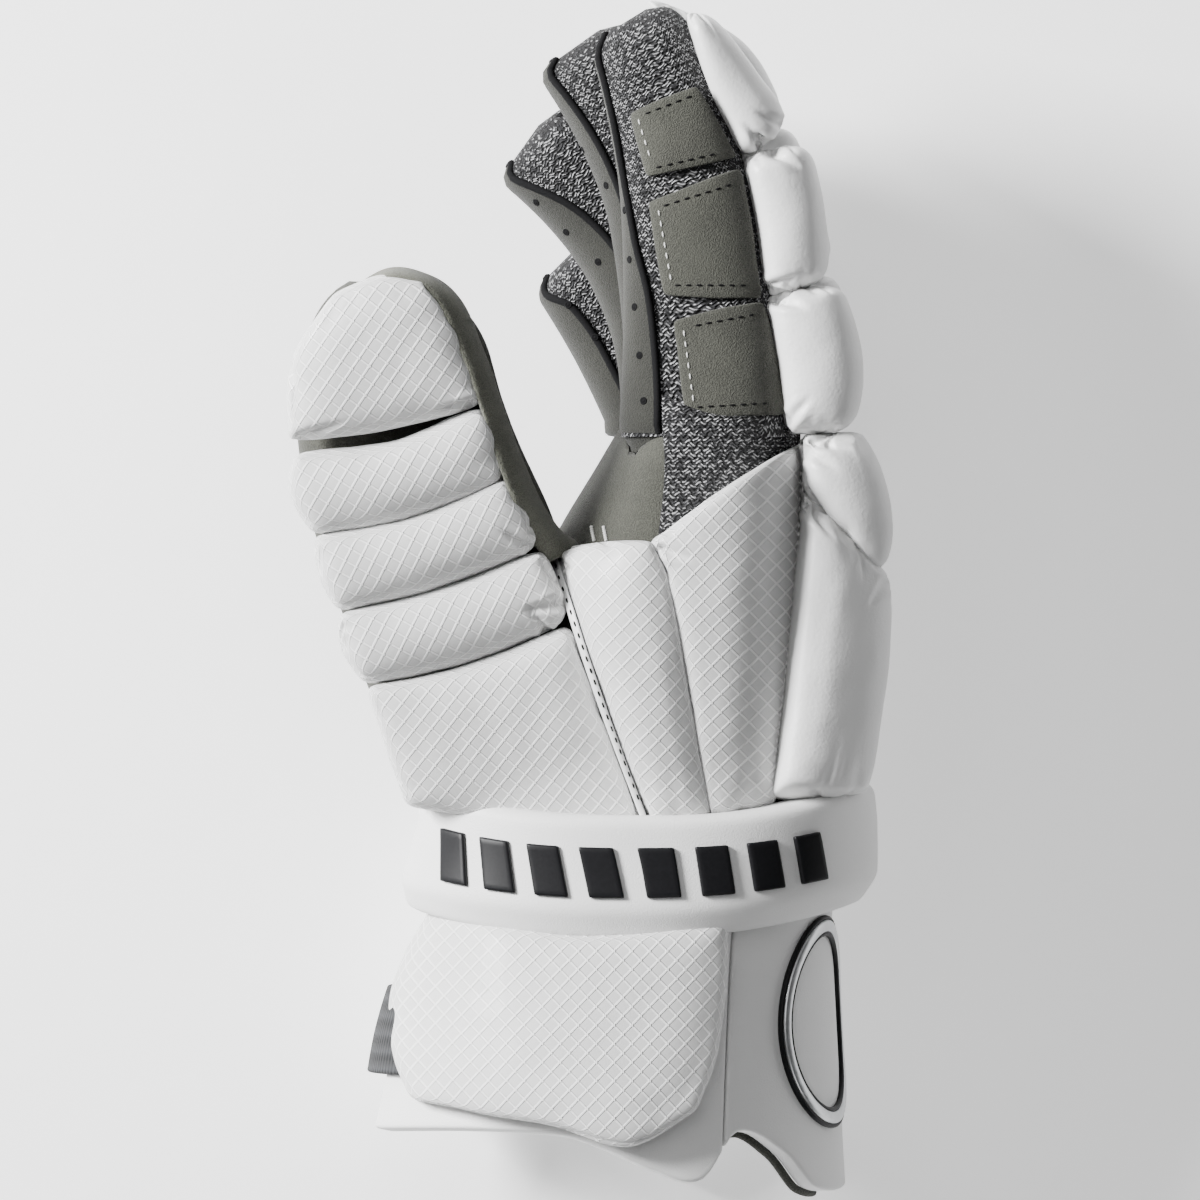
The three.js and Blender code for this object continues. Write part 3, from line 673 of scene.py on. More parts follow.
def swell(pieces, cap):
    """Cloth under pressure fills the pads, held at their sewn side. No point moves past the cap."""
    scene = bpy.context.scene
    rest = [points_of(piece) for piece in pieces]
    for piece in pieces:
        piece.data.transform(Matrix.Scale(SIM_SCALE, 4))
        cloth = piece.modifiers.new("swell", "CLOTH")
        settings = cloth.settings
        settings.quality = 4
        settings.use_pressure = True
        settings.uniform_pressure_force = PRESSURE
        settings.vertex_group_mass = "sewn"
        settings.effector_weights.gravity = 0
        cloth.collision_settings.use_collision = False
        cloth.point_cache.frame_start = 1
        cloth.point_cache.frame_end = SIM_FRAMES
    for number in range(1, SIM_FRAMES + 1):
        scene.frame_set(number)
    for piece, start in zip(pieces, rest):
        only(piece)
        bpy.ops.object.modifier_apply(modifier="swell")
        step = points_of(piece) / SIM_SCALE - start
        set_points(piece, start)
        out = np.maximum((step * normals_of(piece)).sum(1), 0)
        press(piece, np.minimum(out * min(1, 1.5 * cap / out.max()), cap))
    scene.frame_set(1)


def press(piece, targets):
    """Moves each point along its normal by an amount, in metres"""
    set_points(piece, points_of(piece) + normals_of(piece) * targets[:, None])


def waves(points, scale, seed):
    """Smooth noise from -1 to 1 at each point. scale is a wave's length in metres."""
    return np.array([noise.noise(Vector(point) / scale + Vector((seed, seed * 2, 0))) for point in points])


def ruffle(piece, scale, seed, depth=0.0003):
    """Makes a surface slightly uneven"""
    press(piece, waves(points_of(piece), scale, seed) * depth)


def pucker(piece, seed, depth=0.0011, count=9, axis=1):
    """Small folds that run in from the two sewn ends of a stuffed piece, and a slight unevenness"""
    draw = random.Random(seed)
    cells = vectors(piece.data.attributes["cell"].data, "vector", np.float32)
    others = [number for number in range(3) if number != axis]
    turn = np.arctan2(cells[:, others[0]], cells[:, others[1]])
    push = np.zeros(len(cells))
    for end in (-1, 1):
        near = 1 - end * cells[:, axis]
        for _ in range(count):
            at = draw.uniform(-math.pi, math.pi)
            reach = draw.uniform(0.25, 0.7)
            lean = draw.uniform(-0.5, 0.5)
            width = draw.uniform(0.1, 0.22)
            away = (turn - at - lean * near + math.pi) % (2 * math.pi) - math.pi
            fade = np.clip(1 - near / reach, 0, 1) ** 1.4
            push -= depth * draw.uniform(0.5, 1) * fade * np.exp(-(away / width) ** 2)
    points = points_of(piece)
    push += waves(points, 0.016, seed) * 0.00035 + waves(points, 0.006, seed + 5) * 0.00012
    press(piece, push)


def tuck(piece, start, end, width, depth):
    """A fold pressed into the side that faces the camera, from one place in the picture to another"""
    a, b = (np.array(metres(*spot(*place), 0))[:2] for place in (start, end))
    points = points_of(piece)
    facing = normals_of(piece)[:, 2] > 0.1
    line = b - a
    share = np.clip((points[:, :2] - a) @ line / (line @ line), 0, 1)
    away = np.linalg.norm(points[:, :2] - a - share[:, None] * line, axis=1)
    wide = width * (1 - share * 0.6)
    push = -depth * (1 - share ** 2) * np.exp(-(away / wide) ** 2) * facing
    ridge = depth * 0.35 * (1 - share) * np.exp(-((away - wide * 2) / wide) ** 2) * facing
    press(piece, push + ridge)


def settle(piece):
    """A soft piece is pressed flat where it lies on the floor"""
    points = points_of(piece)
    points[:, 2] = np.maximum(points[:, 2], 0.0)
    set_points(piece, points)


def curve_through(points, share):
    """A smooth line through a few points, at a share of its rows"""
    rows = [(number / (len(points) - 1), *point) for number, point in enumerate(points)]
    return tuple(follow(rows, share, column) for column in range(1, len(rows[0])))


def patch(bottom, top, left, right):
    """A smooth map from -1 to 1 both ways to the inside of four edges in the picture.

    left and right have only what is between their corners."""
    left, right = [bottom[0], *left, top[0]], [bottom[-1], *right, top[-1]]

    def at(x, y):
        s, t = (x + 1) / 2, (y + 1) / 2
        low, high, west, east = map(curve_through, (bottom, top, left, right), (s, s, t, t))
        return tuple((1 - t) * low[n] + t * high[n] + (1 - s) * west[n] + s * east[n]
                     - ((1 - s) * (1 - t) * bottom[0][n] + s * (1 - t) * bottom[-1][n]
                        + (1 - s) * t * top[0][n] + s * t * top[-1][n]) for n in (0, 1))
    return at


def dome(share, squareness):
    """The height of a superellipse of size 1 at a share of its half width"""
    return (1 - abs(share) ** squareness) ** (1 / squareness)


# How far out a place over a rounded side may lie, as a share of its half width
SIDE_END = 0.985


def hand_side(x, y, offset, side=1, out=0.0):
    """A point over the thumb side, or the little-finger side, of the hand or of what is wrapped round it"""
    centre, depth, width, squareness = section_at(y)
    rise = dome(clamp((x - centre) / (depth + out), -SIDE_END, SIDE_END), squareness)
    return metres(x, y, HAND_Z + side * ((width + out) * rise + offset))


def index_side(x, y, offset):
    """A point over the index finger's thumb side"""
    share = INDEX.nearest(x, y)
    (mid_x, mid_y, z), _, back, half = INDEX.at(share)
    across = clamp(((x - mid_x) * back[0] + (y - mid_y) * back[1]) / half, -0.96, 0.96)
    return metres(x, y, z + FINGER_WIDTH / 2 * dome(across, STALL_POWER) + offset)


def thumb_side(x, y, offset):
    """A point over the thumb's flat upper side"""
    first = THUMB.nearest(x, y)
    return metres(x, y, mix(THUMB.z, THUMB.tip_z, first) + THUMB_DEPTH / 2 + SEAT + offset)


class Top:
    """Finds the surface of some pieces under a place in the picture"""

    def __init__(self, *pieces):
        points, faces = [], []
        for piece in pieces:
            start = len(points)
            points += [vertex.co.copy() for vertex in piece.data.vertices]
            faces += [[start + corner for corner in face] for face in faces_of(piece)]
        self.tree = BVHTree.FromPolygons(points, faces)

    def at(self, column, row):
        place = metres(*spot(column, row), 1000)
        point, normal, _, _ = self.tree.ray_cast(place, Vector((0, 0, -1)))
        return (point, normal) if point else (None, None)


def walk(places, pitch):
    """Evenly spaced places along a smooth line through a few"""
    fine = [curve_through(places, number / 400) for number in range(401)]
    gone, found, last = 0.0, [fine[0]], fine[0]
    for place in fine[1:]:
        gone += math.dist(place, last)
        last = place
        if gone >= pitch:
            found.append(place)
            gone -= pitch
    return found


def faces_of(piece):
    return [list(face.vertices) for face in piece.data.polygons]


def scatter(seed, shape, faces, frames, paint):
    """Copies of a small shape in many places, in one piece. A frame is a turn and a place."""
    points, sides = [], []
    for turn, place in frames:
        sides += [[len(points) + corner for corner in face] for face in faces]
        points += [place + turn @ corner for corner in shape]
    mesh = bpy.data.meshes.new(seed.name)
    mesh.from_pydata(points, [], sides)
    seed.data = mesh
    return sew(seed, "", paint=paint)


def stitch(name, lines, top, paint, length=0.0, radius=0.0003, pitch=0.003):
    """Rows of stitches on what lies under some lines in the picture"""
    length = length or bpy.context.scene.glove_sizes.stitch
    seed = add(bpy.ops.mesh.primitive_uv_sphere_add, name, segments=6, ring_count=4, radius=1)
    shape = [Vector(corner) for corner in points_of(seed) * (radius, length / 2, radius)]
    frames = []
    for line in lines:
        places = [top.at(*place) for place in walk(line, pitch * 1000 / PIXEL)]
        for (point, normal), (after, _) in zip(places, places[1:]):
            if point is None or after is None or (after - point).length > pitch * 3:
                continue
            along = (after - point).normalized()
            across = normal.cross(along).normalized()
            middle = (point + after) / 2 + normal * radius * 0.35
            frames.append((Matrix((across, along, normal)).transposed(), middle))
    return scatter(seed, shape, faces_of(seed), frames, paint)


# An air hole's radius and the thickness of its rim, in metres
HOLE = 0.0008
HOLE_RIM = 0.00035
HOLE_SIDES = 12


def pierce(name, places, top):
    """Small air holes: a dark rim round a dark disc. The disc and its wall are painted shade that stands for
    the shaded inside of the hole.
    """
    seed = add(bpy.ops.mesh.primitive_torus_add, name, major_segments=16, minor_segments=6,
               major_radius=HOLE, minor_radius=HOLE_RIM)
    shape = [Vector(corner) - Vector((0, 0, 0.0001)) for corner in points_of(seed)]
    start, sides, wide = len(shape), range(HOLE_SIDES), HOLE + 0.0001
    turns = [n * math.tau / HOLE_SIDES for n in sides]
    shape += [Vector((math.cos(turn) * wide, math.sin(turn) * wide, z))
              for z in (0.00012, -0.0004) for turn in turns]
    upper, lower = ([start + low + n for n in sides] for low in (0, HOLE_SIDES))
    walls = [[upper[n], lower[n], lower[n - HOLE_SIDES + 1], upper[n - HOLE_SIDES + 1]] for n in sides]
    found = [top.at(*place) for place in places]
    frames = [(normal.to_track_quat("Z", "Y"), point) for point, normal in found if point]
    # The holes take the dark thread paint, as painted shade for their inside
    return scatter(seed, shape, [*faces_of(seed), upper, lower[::-1], *walls], frames, "dark_thread_and_hole_shade")


def tube(name, points, radius, paint, slot=""):
    """A round cord along a line of points, closed at its ends"""
    data = bpy.data.curves.new(name, "CURVE")
    data.dimensions = "3D"
    data.bevel_depth = radius
    data.bevel_resolution = 2
    data.use_fill_caps = True
    line = data.splines.new("POLY")
    line.points.add(len(points) - 1)
    for target, point in zip(line.points, points):
        target.co = (*point, 1.0)
    piece = bpy.data.objects.new(name, data)
    bpy.context.scene.collection.objects.link(piece)
    only(piece)
    bpy.ops.object.convert(target="MESH")
    return sew(bpy.context.active_object, slot, paint=paint)


# Pieces
def pad(name, edges, surface, thick, size, rounding=(3.5, 3.5, 5), corner=4.0, crown=1.6, turned=False,
        **where):
    """A stuffed pad sewn down at its edge, over a surface, between its edges in the picture"""
    plan = patch(*edges)

    def place(x, y, z):
        return surface(*spot(*plan(x, y)), GAP + thick * (z + 1) / 2, **where)
    return block(name, place, (*size, thick), rounding, foot=min(2.0, thick / 3), corner=corner, crown=crown,
                 turned=turned)


def roll(name, inner, outer, middle, half, skin=None, rounding=((4.0, 13.0), 5.0, 10.0), corner=2.6,
         profile=1.8):
    """A stuffed roll between two edges from root to tip, as wide as twice the half.

    Its underside may follow what it lies on."""
    def place(x, y, z):
        low, high = (curve_through(edge, (y + 1) / 2) for edge in (inner, outer))
        lean = (x + 1) / 2
        at, height = mix(low[1], high[1], lean), middle + z * half
        start = max(low[0], skin(at, height)) if skin else low[0]
        return metres(mix(start, high[0], lean), at, height)
    wide = math.dist(inner[len(inner) // 2], outer[len(outer) // 2])
    size = (wide, math.dist(inner[0], inner[-1]), half * 2)
    return block(f"stuffed_{name}", place, size, rounding, corner=corner, profile=profile, crown=0.6)


def stuff(made, cap, slot, seed, depth=0.0011, folds=9, axis=1):
    """Fills some pads, gathers their ends and gives them their cloth. made has each pad by its node."""
    swell(list(made.values()), cap)
    for number, (name, piece) in enumerate(made.items()):
        refine(piece, 2)
        pucker(piece, number + seed, depth, folds, axis)
        settle(piece)
        sew(piece, slot, name)


def back_skin(y, z):
    """The hand's back at a place along it and a height"""
    centre, depth, width, squareness = section_at(y)
    share = clamp(abs(z - HAND_Z) / width, 0, 1)
    return centre + depth * dome(share, squareness) + GAP


def plate(name, columns, rows, surface, low, high, size, corner=0.0012):
    """A plate of even thickness over a surface of two shares, with rounded edges"""
    piece = grid(name, columns, rows, lambda u, v: surface(u, v, low), size)
    inner, outer = (np.array(surface(0.5, 0.5, height)) for height in (low, low + 1))
    nearest = np.argmin(np.linalg.norm(points_of(piece) - inner, axis=1))
    if normals_of(piece)[nearest] @ (outer - inner) < 0:
        edit(piece, (bpy.ops.mesh.flip_normals, {}))
    modify(piece, "SOLIDIFY", thickness=(high - low) / 1000, offset=1.0, use_even_offset=True)
    modify(piece, "BEVEL", width=corner, segments=3, limit_method="ANGLE", angle_limit=math.radians(50))
    return piece


def stall(limb, name, columns, rows, start=0.0, web=None):
    """A limb's hollow skin, closed at its tip. A web widens its back side, by millimetres at each share."""
    def place(u, v):
        share = mix(start, 1, v ** 0.85)
        point = limb.skin(u * 360, share, 0, closed=True)
        if web:
            _, along, back, _ = limb.at(share)
            reach = follow(web, share, 1) * max(math.cos(u * math.tau), 0) ** 0.8 * rounded(share, 0.86, 2.0)
            rise = follow(web, share, 2) * rounded(share, 0.999, 2.0)
            sink = 9 * max(-math.sin(u * math.tau), 0) * clamp(1 - share / 0.3, 0, 1) ** 1.5
            level = [back[n] * reach + along[n] * rise for n in (0, 1)]
            point += Vector((*level, sink)) / 1000
        return point
    around = (limb.width + limb.depths[0]) * 1.8 / 1000
    piece = grid(name, columns, rows, place, (around, limb.length / 1000))
    tip = piece.data.attributes.new("tip", "FLOAT", "POINT")
    ends = [metres(*limb.beside(share, 0, 0)) for share in (0.94, 0.99)]
    axis = (ends[1] - ends[0]) / (ends[1] - ends[0]).length_squared
    past = (points_of(piece) - np.array(ends[0])) @ np.array(axis)
    tip.data.foreach_set("value", np.clip(past, 0, 1).astype(np.float32))
    weld(piece)
    modify(piece, "SOLIDIFY", thickness=LEATHER / 1000, offset=-1.0)
    return piece


def carve(piece, *cutters):
    for cutter in cutters:
        modify(piece, "BOOLEAN", operation="DIFFERENCE", object=cutter, solver="EXACT")
        bpy.data.objects.remove(cutter)


def plug(name, limb, low, high, inset):
    """A limb's inside as a closed body between two shares, for cutting"""
    def place(u, v):
        share = mix(low, high, clamp(v * 1.5 - 0.25, 0, 1))
        if v in (0, 1):
            return metres(*limb.beside(share, 0, 0))
        return limb.skin(u * 360, share, -inset)
    piece = grid(name, 24, 6, place, (1, 1))
    weld(piece)
    return piece


# The suede that stands out on the thumb's index side, and past its pads at the tip, in millimetres
THUMB_WEB = [(0, 0, 0), (0.3, 6, 0), (0.5, 9, 0), (0.7, 7, 0.5), (0.85, 4.5, 2), (1, 2, 4.5)]
# The share of the hand's skin where its knuckle wall starts
WALL_FROM = 0.8


def make_hand():
    """The suede hand: its skin, its knuckle wall and the ways into the fingers and the thumb"""
    low = BAND_TOP + GAP

    def skin(u, v):
        if v <= WALL_FROM:
            return on_hand(u * 360, mix(low, KNUCKLES, v / WALL_FROM), 0)
        middle = metres(section_at(KNUCKLES)[0], KNUCKLES, HAND_Z)
        return on_hand(u * 360, KNUCKLES, 0).lerp(middle, (v - WALL_FROM) / (1 - WALL_FROM))

    hand = grid("suede_hand", 96, 50, skin, (0.34, 0.14))
    weld(hand)
    only(hand)
    bpy.ops.object.duplicate()
    solid = bpy.context.active_object
    weld(solid, 0.000001, close=True)
    modify(hand, "SOLIDIFY", thickness=LEATHER / 1000, offset=-1.0)
    passages = [plug("way", limb, -0.06, 0.03, LEATHER) for limb in FINGERS]
    carve(hand, *passages, plug("way", THUMB, 0.0, 0.5, LEATHER))
    ruffle(hand, 0.02, 3)
    sew(hand, "suede", "hand_shell")
    thumb = stall(THUMB, "suede_thumb", 72, 60, web=THUMB_WEB)
    carve(thumb, solid)
    ruffle(thumb, 0.018, 7)
    sew(thumb, "suede", "thumb_shell")


# Half the turn of each palm strip on its thumb side, by share of the finger
STRIPS = {
    "index": [(-0.08, 62), (0.05, 62), (0.18, 59), (0.33, 52), (0.47, 36), (0.63, 24), (0.9, 22), (1, 18)],
    "middle": [(-0.08, 52), (0.3, 50), (0.7, 46), (0.92, 34), (1, 24)],
    "ring": [(-0.08, 66), (0.3, 72), (0.57, 72), (0.77, 62), (0.95, 34), (1, 24)],
    "pinky": [(-0.08, 62), (0.3, 62), (0.8, 60), (0.95, 30), (1, 22)],
}
STRIP_FAR = 48
STRIP_END = 0.985


def make_fingers():
    """Knit finger skins, with suede strips down their palm sides and piping along these"""
    for limb in FINGERS:
        shell = stall(limb, f"{limb.name}_knit", 56, 64, -0.02)
        ruffle(shell, 0.012, limb.z, 0.0004)
        sew(shell, "knit_mesh", f"{limb.name}_shell")

        def over(u, v, offset, limb=limb):
            share = mix(-0.1, STRIP_END, v)
            near = follow(STRIPS[limb.name], share, 1)
            offset -= 3.5 * clamp(-share / 0.04, 0, 1)
            end = clamp((share - 0.9) / (STRIP_END - 0.9), 0, 1)
            far = mix(STRIP_FAR, 20, end ** 2)
            return limb.skin(180 - mix(near, -far, u), share, offset, closed=True)
        strip = plate(f"{limb.name}_suede", 24, 56, over, -0.2, 0.9, (0.04, limb.length / 1000), 0.0004)
        # The palm strips take a darker copy of the suede: painted shade
        sew(strip, "suede", f"{limb.name}_palm_strip", paint="suede_strip_painted_shade")
        line = [over(0, step / 60, 0.6) for step in range(5, 61)]
        line += [over(step / 8, 1, 0.6) for step in range(1, 8)]
        line += [over(1, step / 60, 0.6) for step in range(60, 4, -1)]
        tube(f"{limb.name}_piping", line, 0.00105, "dark_binding")


# Pieces by their edges in the picture: bottom, top, left and right, from left to right and bottom to top
PATCHES = {
    "index_side_patch_1": ([(646, 182), (690, 173), (737, 162)], [(629, 119), (660, 104), (696, 91)],
                           [(637, 150)], [(717, 127)]),
    "index_side_patch_2": ([(663, 299), (712, 302), (761, 302)], [(647, 206), (690, 190), (740, 171)],
                           [(654, 250)], [(752, 238)]),
    "index_side_patch_3": ([(684, 421), (735, 419), (785, 416)], [(672, 324), (715, 312), (762, 304)],
                           [(678, 370)], [(776, 360)]),
}
PATCH_THICK = 2.4
GUSSET_THICK = 1.7
GUSSET = ([(656, 550), (700, 514), (744, 478), (800, 444)], [(658, 396), (720, 418), (798, 412)],
          [(664, 470)], [(800, 430)])


def make_patches():
    """Suede patches on the index finger's side, and the knit gusset below them"""
    for name, edges in PATCHES.items():
        piece = pad(f"suede_{name}", edges, index_side, PATCH_THICK, (28, 26), (1.2, 1.2, 1.4), 3.0, 0.3)
        refine(piece)
        ruffle(piece, 0.012, 2)
        sew(piece, "suede", name)
    gusset = pad("knit_gusset", GUSSET, hand_side, GUSSET_THICK, (36, 30), (0.8, 0.8, 0.8), 6.0, 0.0)
    refine(gusset)
    sew(gusset, "knit_mesh", "radial_mesh_gusset")


# The index finger's rolls from root to tip, as its inner and outer edges in the picture
INDEX_ROLLS = {
    "index_roll_3": ([(783, 436), (775, 366), (763, 298)], [(851, 434), (862, 375), (850, 316), (838, 286)]),
    "index_roll_2": ([(763, 302), (753, 230), (740, 160)], [(827, 284), (823, 215), (806, 144)]),
    "index_roll_1": ([(741, 161), (722, 128), (705, 98), (693, 60), (683, 18)],
                     [(768, 148), (783, 118), (757, 84), (732, 50), (706, 17)]),
}
KNUCKLE = ([(800, 492), (801, 465), (801, 436)], [(884, 585), (892, 520), (868, 430)])
BACK = ([(768, 798), (785, 640), (801, 488)], [(867, 795), (886, 660), (890, 578)])
# The share of a finger where its rolls end
ROLLS_END = 0.97


def limb_edges(limb, low, high, last):
    """Inner and outer edges of a roll on a finger"""
    inner, outer = [], []
    for step in range(3):
        share = mix(low, high, step / 2)
        half = limb.at(share)[3] + SEAT
        tip = step == 2 and last
        slope = (0.1 * (step > 0 or low > 0.05) - (0.7 if tip else 0)) * ROLL_PAD / 2
        rise = ROLL_PAD * (0.45 if tip else 0.9 if last and step == 1 else 1)
        inner.append(limb.beside(share, half, 0, -slope)[:2])
        outer.append(limb.beside(share, half + rise, 0, slope)[:2])
    return inner, outer


def make_rolls():
    """Smooth stuffed rolls on the fingers, knuckles and back of the hand"""
    made = {}
    half = FINGER_WIDTH / 2 - 0.1
    for limb in FINGERS:
        count = 2 if limb is PINKY else 3
        for number in range(count):
            name = f"{limb.name}_roll_{count - number}"
            if name in INDEX_ROLLS:
                inner, outer = in_glove(INDEX_ROLLS[name])
            else:
                low, high = (ROLLS_END * step / count for step in (number, number + 1))
                inner, outer = limb_edges(limb, low + 0.004, high - 0.004, number == count - 1)
            made[name] = roll(name, inner, outer, limb.z, half)
        name = f"{limb.name}_knuckle_roll"
        made[name] = roll(name, *in_glove(KNUCKLE), limb.z, half, back_skin, ((3.0, 24.0), 4.0, 12.0),
                          5.0, 1.5)
    third = HAND_WIDTH / 3
    for place, side, tall in ((-1, "ulnar", (16.0, 6.0)), (0, "centre", 6.0), (1, "radial", (6.0, 16.0))):
        name = f"back_pad_{side}"
        made[name] = roll(name, *in_glove(BACK), HAND_Z + place * third, third / 2 - GAP, back_skin,
                          ((3.0, 22.0), 5.0, tall), 5.0, 1.35)
    stuff(made, ROLL_SWELL, "smooth_white", 0, folds=bpy.context.scene.glove_sizes.folds)


THUMB_PADS = {
    "thumb_cap": ([(293, 443), (390, 432), (484, 408)], [(338, 298), (384, 280), (427, 285)],
                  [(296, 364)], [(462, 338)]),
    "thumb_roll_1": ([(316, 536), (410, 519), (506, 484)], [(297, 455), (392, 446), (484, 409)],
                     [(292, 492)], [(500, 445)]),
    "thumb_roll_2": ([(340, 611), (440, 586), (538, 548)], [(316, 537), (412, 519), (507, 478)],
                     [(322, 574)], [(528, 512)]),
    "thumb_roll_3": ([(366, 684), (465, 661), (566, 622)], [(341, 613), (442, 590), (544, 549)],
                     [(344, 648)], [(560, 585)]),
    "thumb_base_pad": ([(408, 804), (530, 821), (643, 822)], [(369, 686), (465, 664), (570, 624)],
                       [(388, 745)], [(607, 724)]),
}
THUMB_SIZES = {"thumb_cap": (50, 44), "thumb_base_pad": (60, 42)}
WEDGES = [
    ([(649, 820), (676, 822), (711, 816)], [(558, 550), (604, 543), (652, 541)],
     [(603, 690)], [(690, 690), (670, 585)]),
    ([(708, 817), (742, 812), (775, 803)], [(650, 543), (722, 489), (803, 441)],
     [(687, 690), (666, 584)], [(788, 650), (800, 520)]),
]
# The suede that comes up beside the thumb's pads: its inner and outer line
RIM_INNER = [(352, 300), (387, 285), (421, 290), (445, 318), (468, 370), (483, 414), (503, 476),
             (526, 532), (549, 562)]
RIM_OUTER = [(329, 312), (387, 275), (430, 280), (461, 305), (483, 352), (503, 410), (531, 484),
             (558, 530), (586, 546)]


def make_thumb_rim():
    """The palm's suede, which wraps up round the thumb to its pads"""
    def place(u, v):
        inner, outer = (spot(*curve_through(line, u)) for line in (RIM_INNER, RIM_OUTER))
        x, y = (mix(inner[n], outer[n], math.sin(v * math.pi / 2)) for n in (0, 1))
        fade = clamp(u / 0.14, 0, 1) * clamp(0.35 + (1 - u) / 0.3, 0, 1)
        return thumb_side(x, y, mix(-13.0, 14.0 * fade, math.cos(v * math.pi / 2) ** 0.9))
    piece = grid("suede_thumb_rim", 72, 16, place, (0.11, 0.03))
    modify(piece, "SOLIDIFY", thickness=0.0014, offset=0.0)
    ruffle(piece, 0.014, 4)
    # The rim takes a lighter copy of the suede: painted light
    sew(piece, "suede", paint="suede_rim_painted_light")


def make_thumb_pads():
    """Grid-patterned stuffed rolls, cap and base pad on the thumb"""
    make_thumb_rim()
    made = {}
    for name, edges in THUMB_PADS.items():
        size = THUMB_SIZES.get(name, (56, 22))
        made[name] = pad(f"stuffed_{name}", edges, thumb_side, THUMB_PAD, size, (4, 5, 6), crown=2.4,
                         turned=True)
    stuff(made, PAD_SWELL, "grid_cloth", 40, 0.0009, 7, 0)


# On the little-finger side the first wedge stops short of the palm
ULNAR_WEDGE = ([(662, 816), (680, 818), (708, 812)], [(606, 562), (628, 545), (650, 541)], [(634, 690)],
               [(687, 690), (667, 585)])
WEDGE_SIZES = ((28, 72), (36, 84))
# The flat seam between the thumb's base pad and the first wedge
SEAM = ([(640, 816), (647, 816)], [(548, 553), (556, 551)], [(593, 690)], [(601, 690)])


def make_side_pads():
    """Grid-patterned wedges on both sides of the hand, and a flat seam beside them"""
    seam = pad("wedge_seam", SEAM, hand_side, WEDGE_PAD - 3.5, (3, 74), (0.9, 1.5, 1.0), crown=0.2)
    refine(seam)
    sew(seam, "smooth_white")
    made = {}
    for side, label, thick, outlines in ((1, "radial", WEDGE_PAD, WEDGES),
                                         (-1, "ulnar", ULNAR_PAD, [ULNAR_WEDGE, WEDGES[1]])):
        for number, edges in enumerate(outlines):
            name = f"{label}_wedge_pad_{number + 1}"
            made[name] = pad(f"stuffed_{name}", edges, hand_side, thick, WEDGE_SIZES[number], side=side)
    stuff(made, PAD_SWELL, "grid_cloth", 60, 0.0009, 7)


# Half the turn that the elastic spans, and its place as a share of the cuff's length
STRAP_TURN = 31
STRAP_PLACE = 0.64
# The lining starts at a share of the cuff's length, and the panels reach up under a share of the band
LINING_FROM = 0.26
PANEL_UNDER = 0.75
CUFF_OUTLINE = ([(412, 1096), (494, 1110), (560, 1121), (630, 1140), (696, 1104)],
                [(432, 905), (580, 930), (728, 915)], [(391, 1045), (392, 985)], [(716, 1050), (726, 980)])
# The panels of the cuff and the turns that they span
PANELS = [
    ("cuff_radial_panel", PANEL_SPLIT + 0.35, PANEL_END),
    ("cuff_shield", -PANEL_SPLIT, PANEL_SPLIT),
    ("cuff_ulnar_panel", -PANEL_END, -PANEL_SPLIT - 0.35),
]


def make_cuff():
    """The cuff: suede lining, three moulded panels, two grid pads and the elastic on the palm side"""
    def lining(u, v, offset):
        turn = mix(16, -16, u) * TURN_STEP
        return on_hand(turn, mix(CUFF_LENGTH * LINING_FROM, BAND_TOP, v), offset)
    piece = plate("suede_lining", 96, 24, lining, -LEATHER, 0, (0.36, 0.08), 0.0006)
    sew(piece, "suede", "cuff_lining")
    for name, start, end in PANELS:
        def panel(u, v, offset, start=start, end=end):
            turn = mix(end, start, u)
            return on_hand(turn, mix(hem(turn), band_low(turn) + BAND_HEIGHT * PANEL_UNDER, v), offset)
        piece = plate(f"moulded_{name}", 64, 40, panel, SEAT, PANEL_OUT, (0.13, 0.09), 0.002)
        settle(piece)
        sew(piece, "moulded_white", name)
    made = {}
    for side, label in ((1, "radial"), (-1, "ulnar")):
        name = f"cuff_{label}_pad"
        made[name] = pad(f"stuffed_{name}", CUFF_OUTLINE, hand_side, CUFF_PAD, (88, 56), side=side,
                         out=PANEL_OUT)
    stuff(made, PAD_SWELL, "grid_cloth", 80, 0.0005, 6)

    def strap(u, v, offset):
        turn = 180 + mix(STRAP_TURN, -STRAP_TURN, u)
        bulge = 0.6 * math.sin(v * math.pi)
        return on_hand(turn, CUFF_LENGTH * STRAP_PLACE + STRAP_WIDTH * (v - 0.5), offset + bulge)
    piece = plate("elastic_palm_strap", 48, 24, strap, PANEL_OUT + SEAT, PANEL_OUT + SEAT + LEATHER,
                  (0.06, STRAP_WIDTH / 1000), 0.0006)
    sew(piece, "webbing", "palm_strap")
    edge = [on_hand(turn, hem(turn) - 0.4, -0.6) for turn in range(16, 58, 2)]
    tube("suede_hem_edge", edge, 0.0012, "suede", "suede")


# The turn at which the wrist band starts and the turns that it spans
BAND_START = -15 * TURN_STEP
BAND_TURNS = 32 * TURN_STEP
# Its bars: how many, from which turn to which, width and slant as shares of their spacing, and where they
# start and end as shares of the band's height
BARS = 8
BAR_FROM = 42.0
BAR_TO = 140.0
BAR_SHARE = 0.62
BAR_LEAN = 0.32
BAR_RANGE = (0.33, 0.74)
# Its section: share of its height, share of its thickness. The ratio is its height to its thickness.
BAND_SECTION = [(0.0, 0.0), (0.0, 0.5), (0.02, 0.62), (0.2, 0.96), (0.26, 1.0), (0.9, 1.0), (0.96, 0.95),
                (1.0, 0.72), (1.0, 0.0)]
BAND_RATIO = 2.8


def around_band(share):
    """A place on the band's section by a share of the way round it"""
    lines = list(zip(BAND_SECTION, BAND_SECTION[1:] + BAND_SECTION[:1]))
    steps = [math.hypot((high[0] - low[0]) * BAND_RATIO, high[1] - low[1]) for low, high in lines]
    left = share % 1 * sum(steps)
    for (low, high), step in zip(lines, steps):
        if left <= step:
            return mix(low[0], high[0], left / step), mix(low[1], high[1], left / step)
        left -= step
    return BAND_SECTION[0]


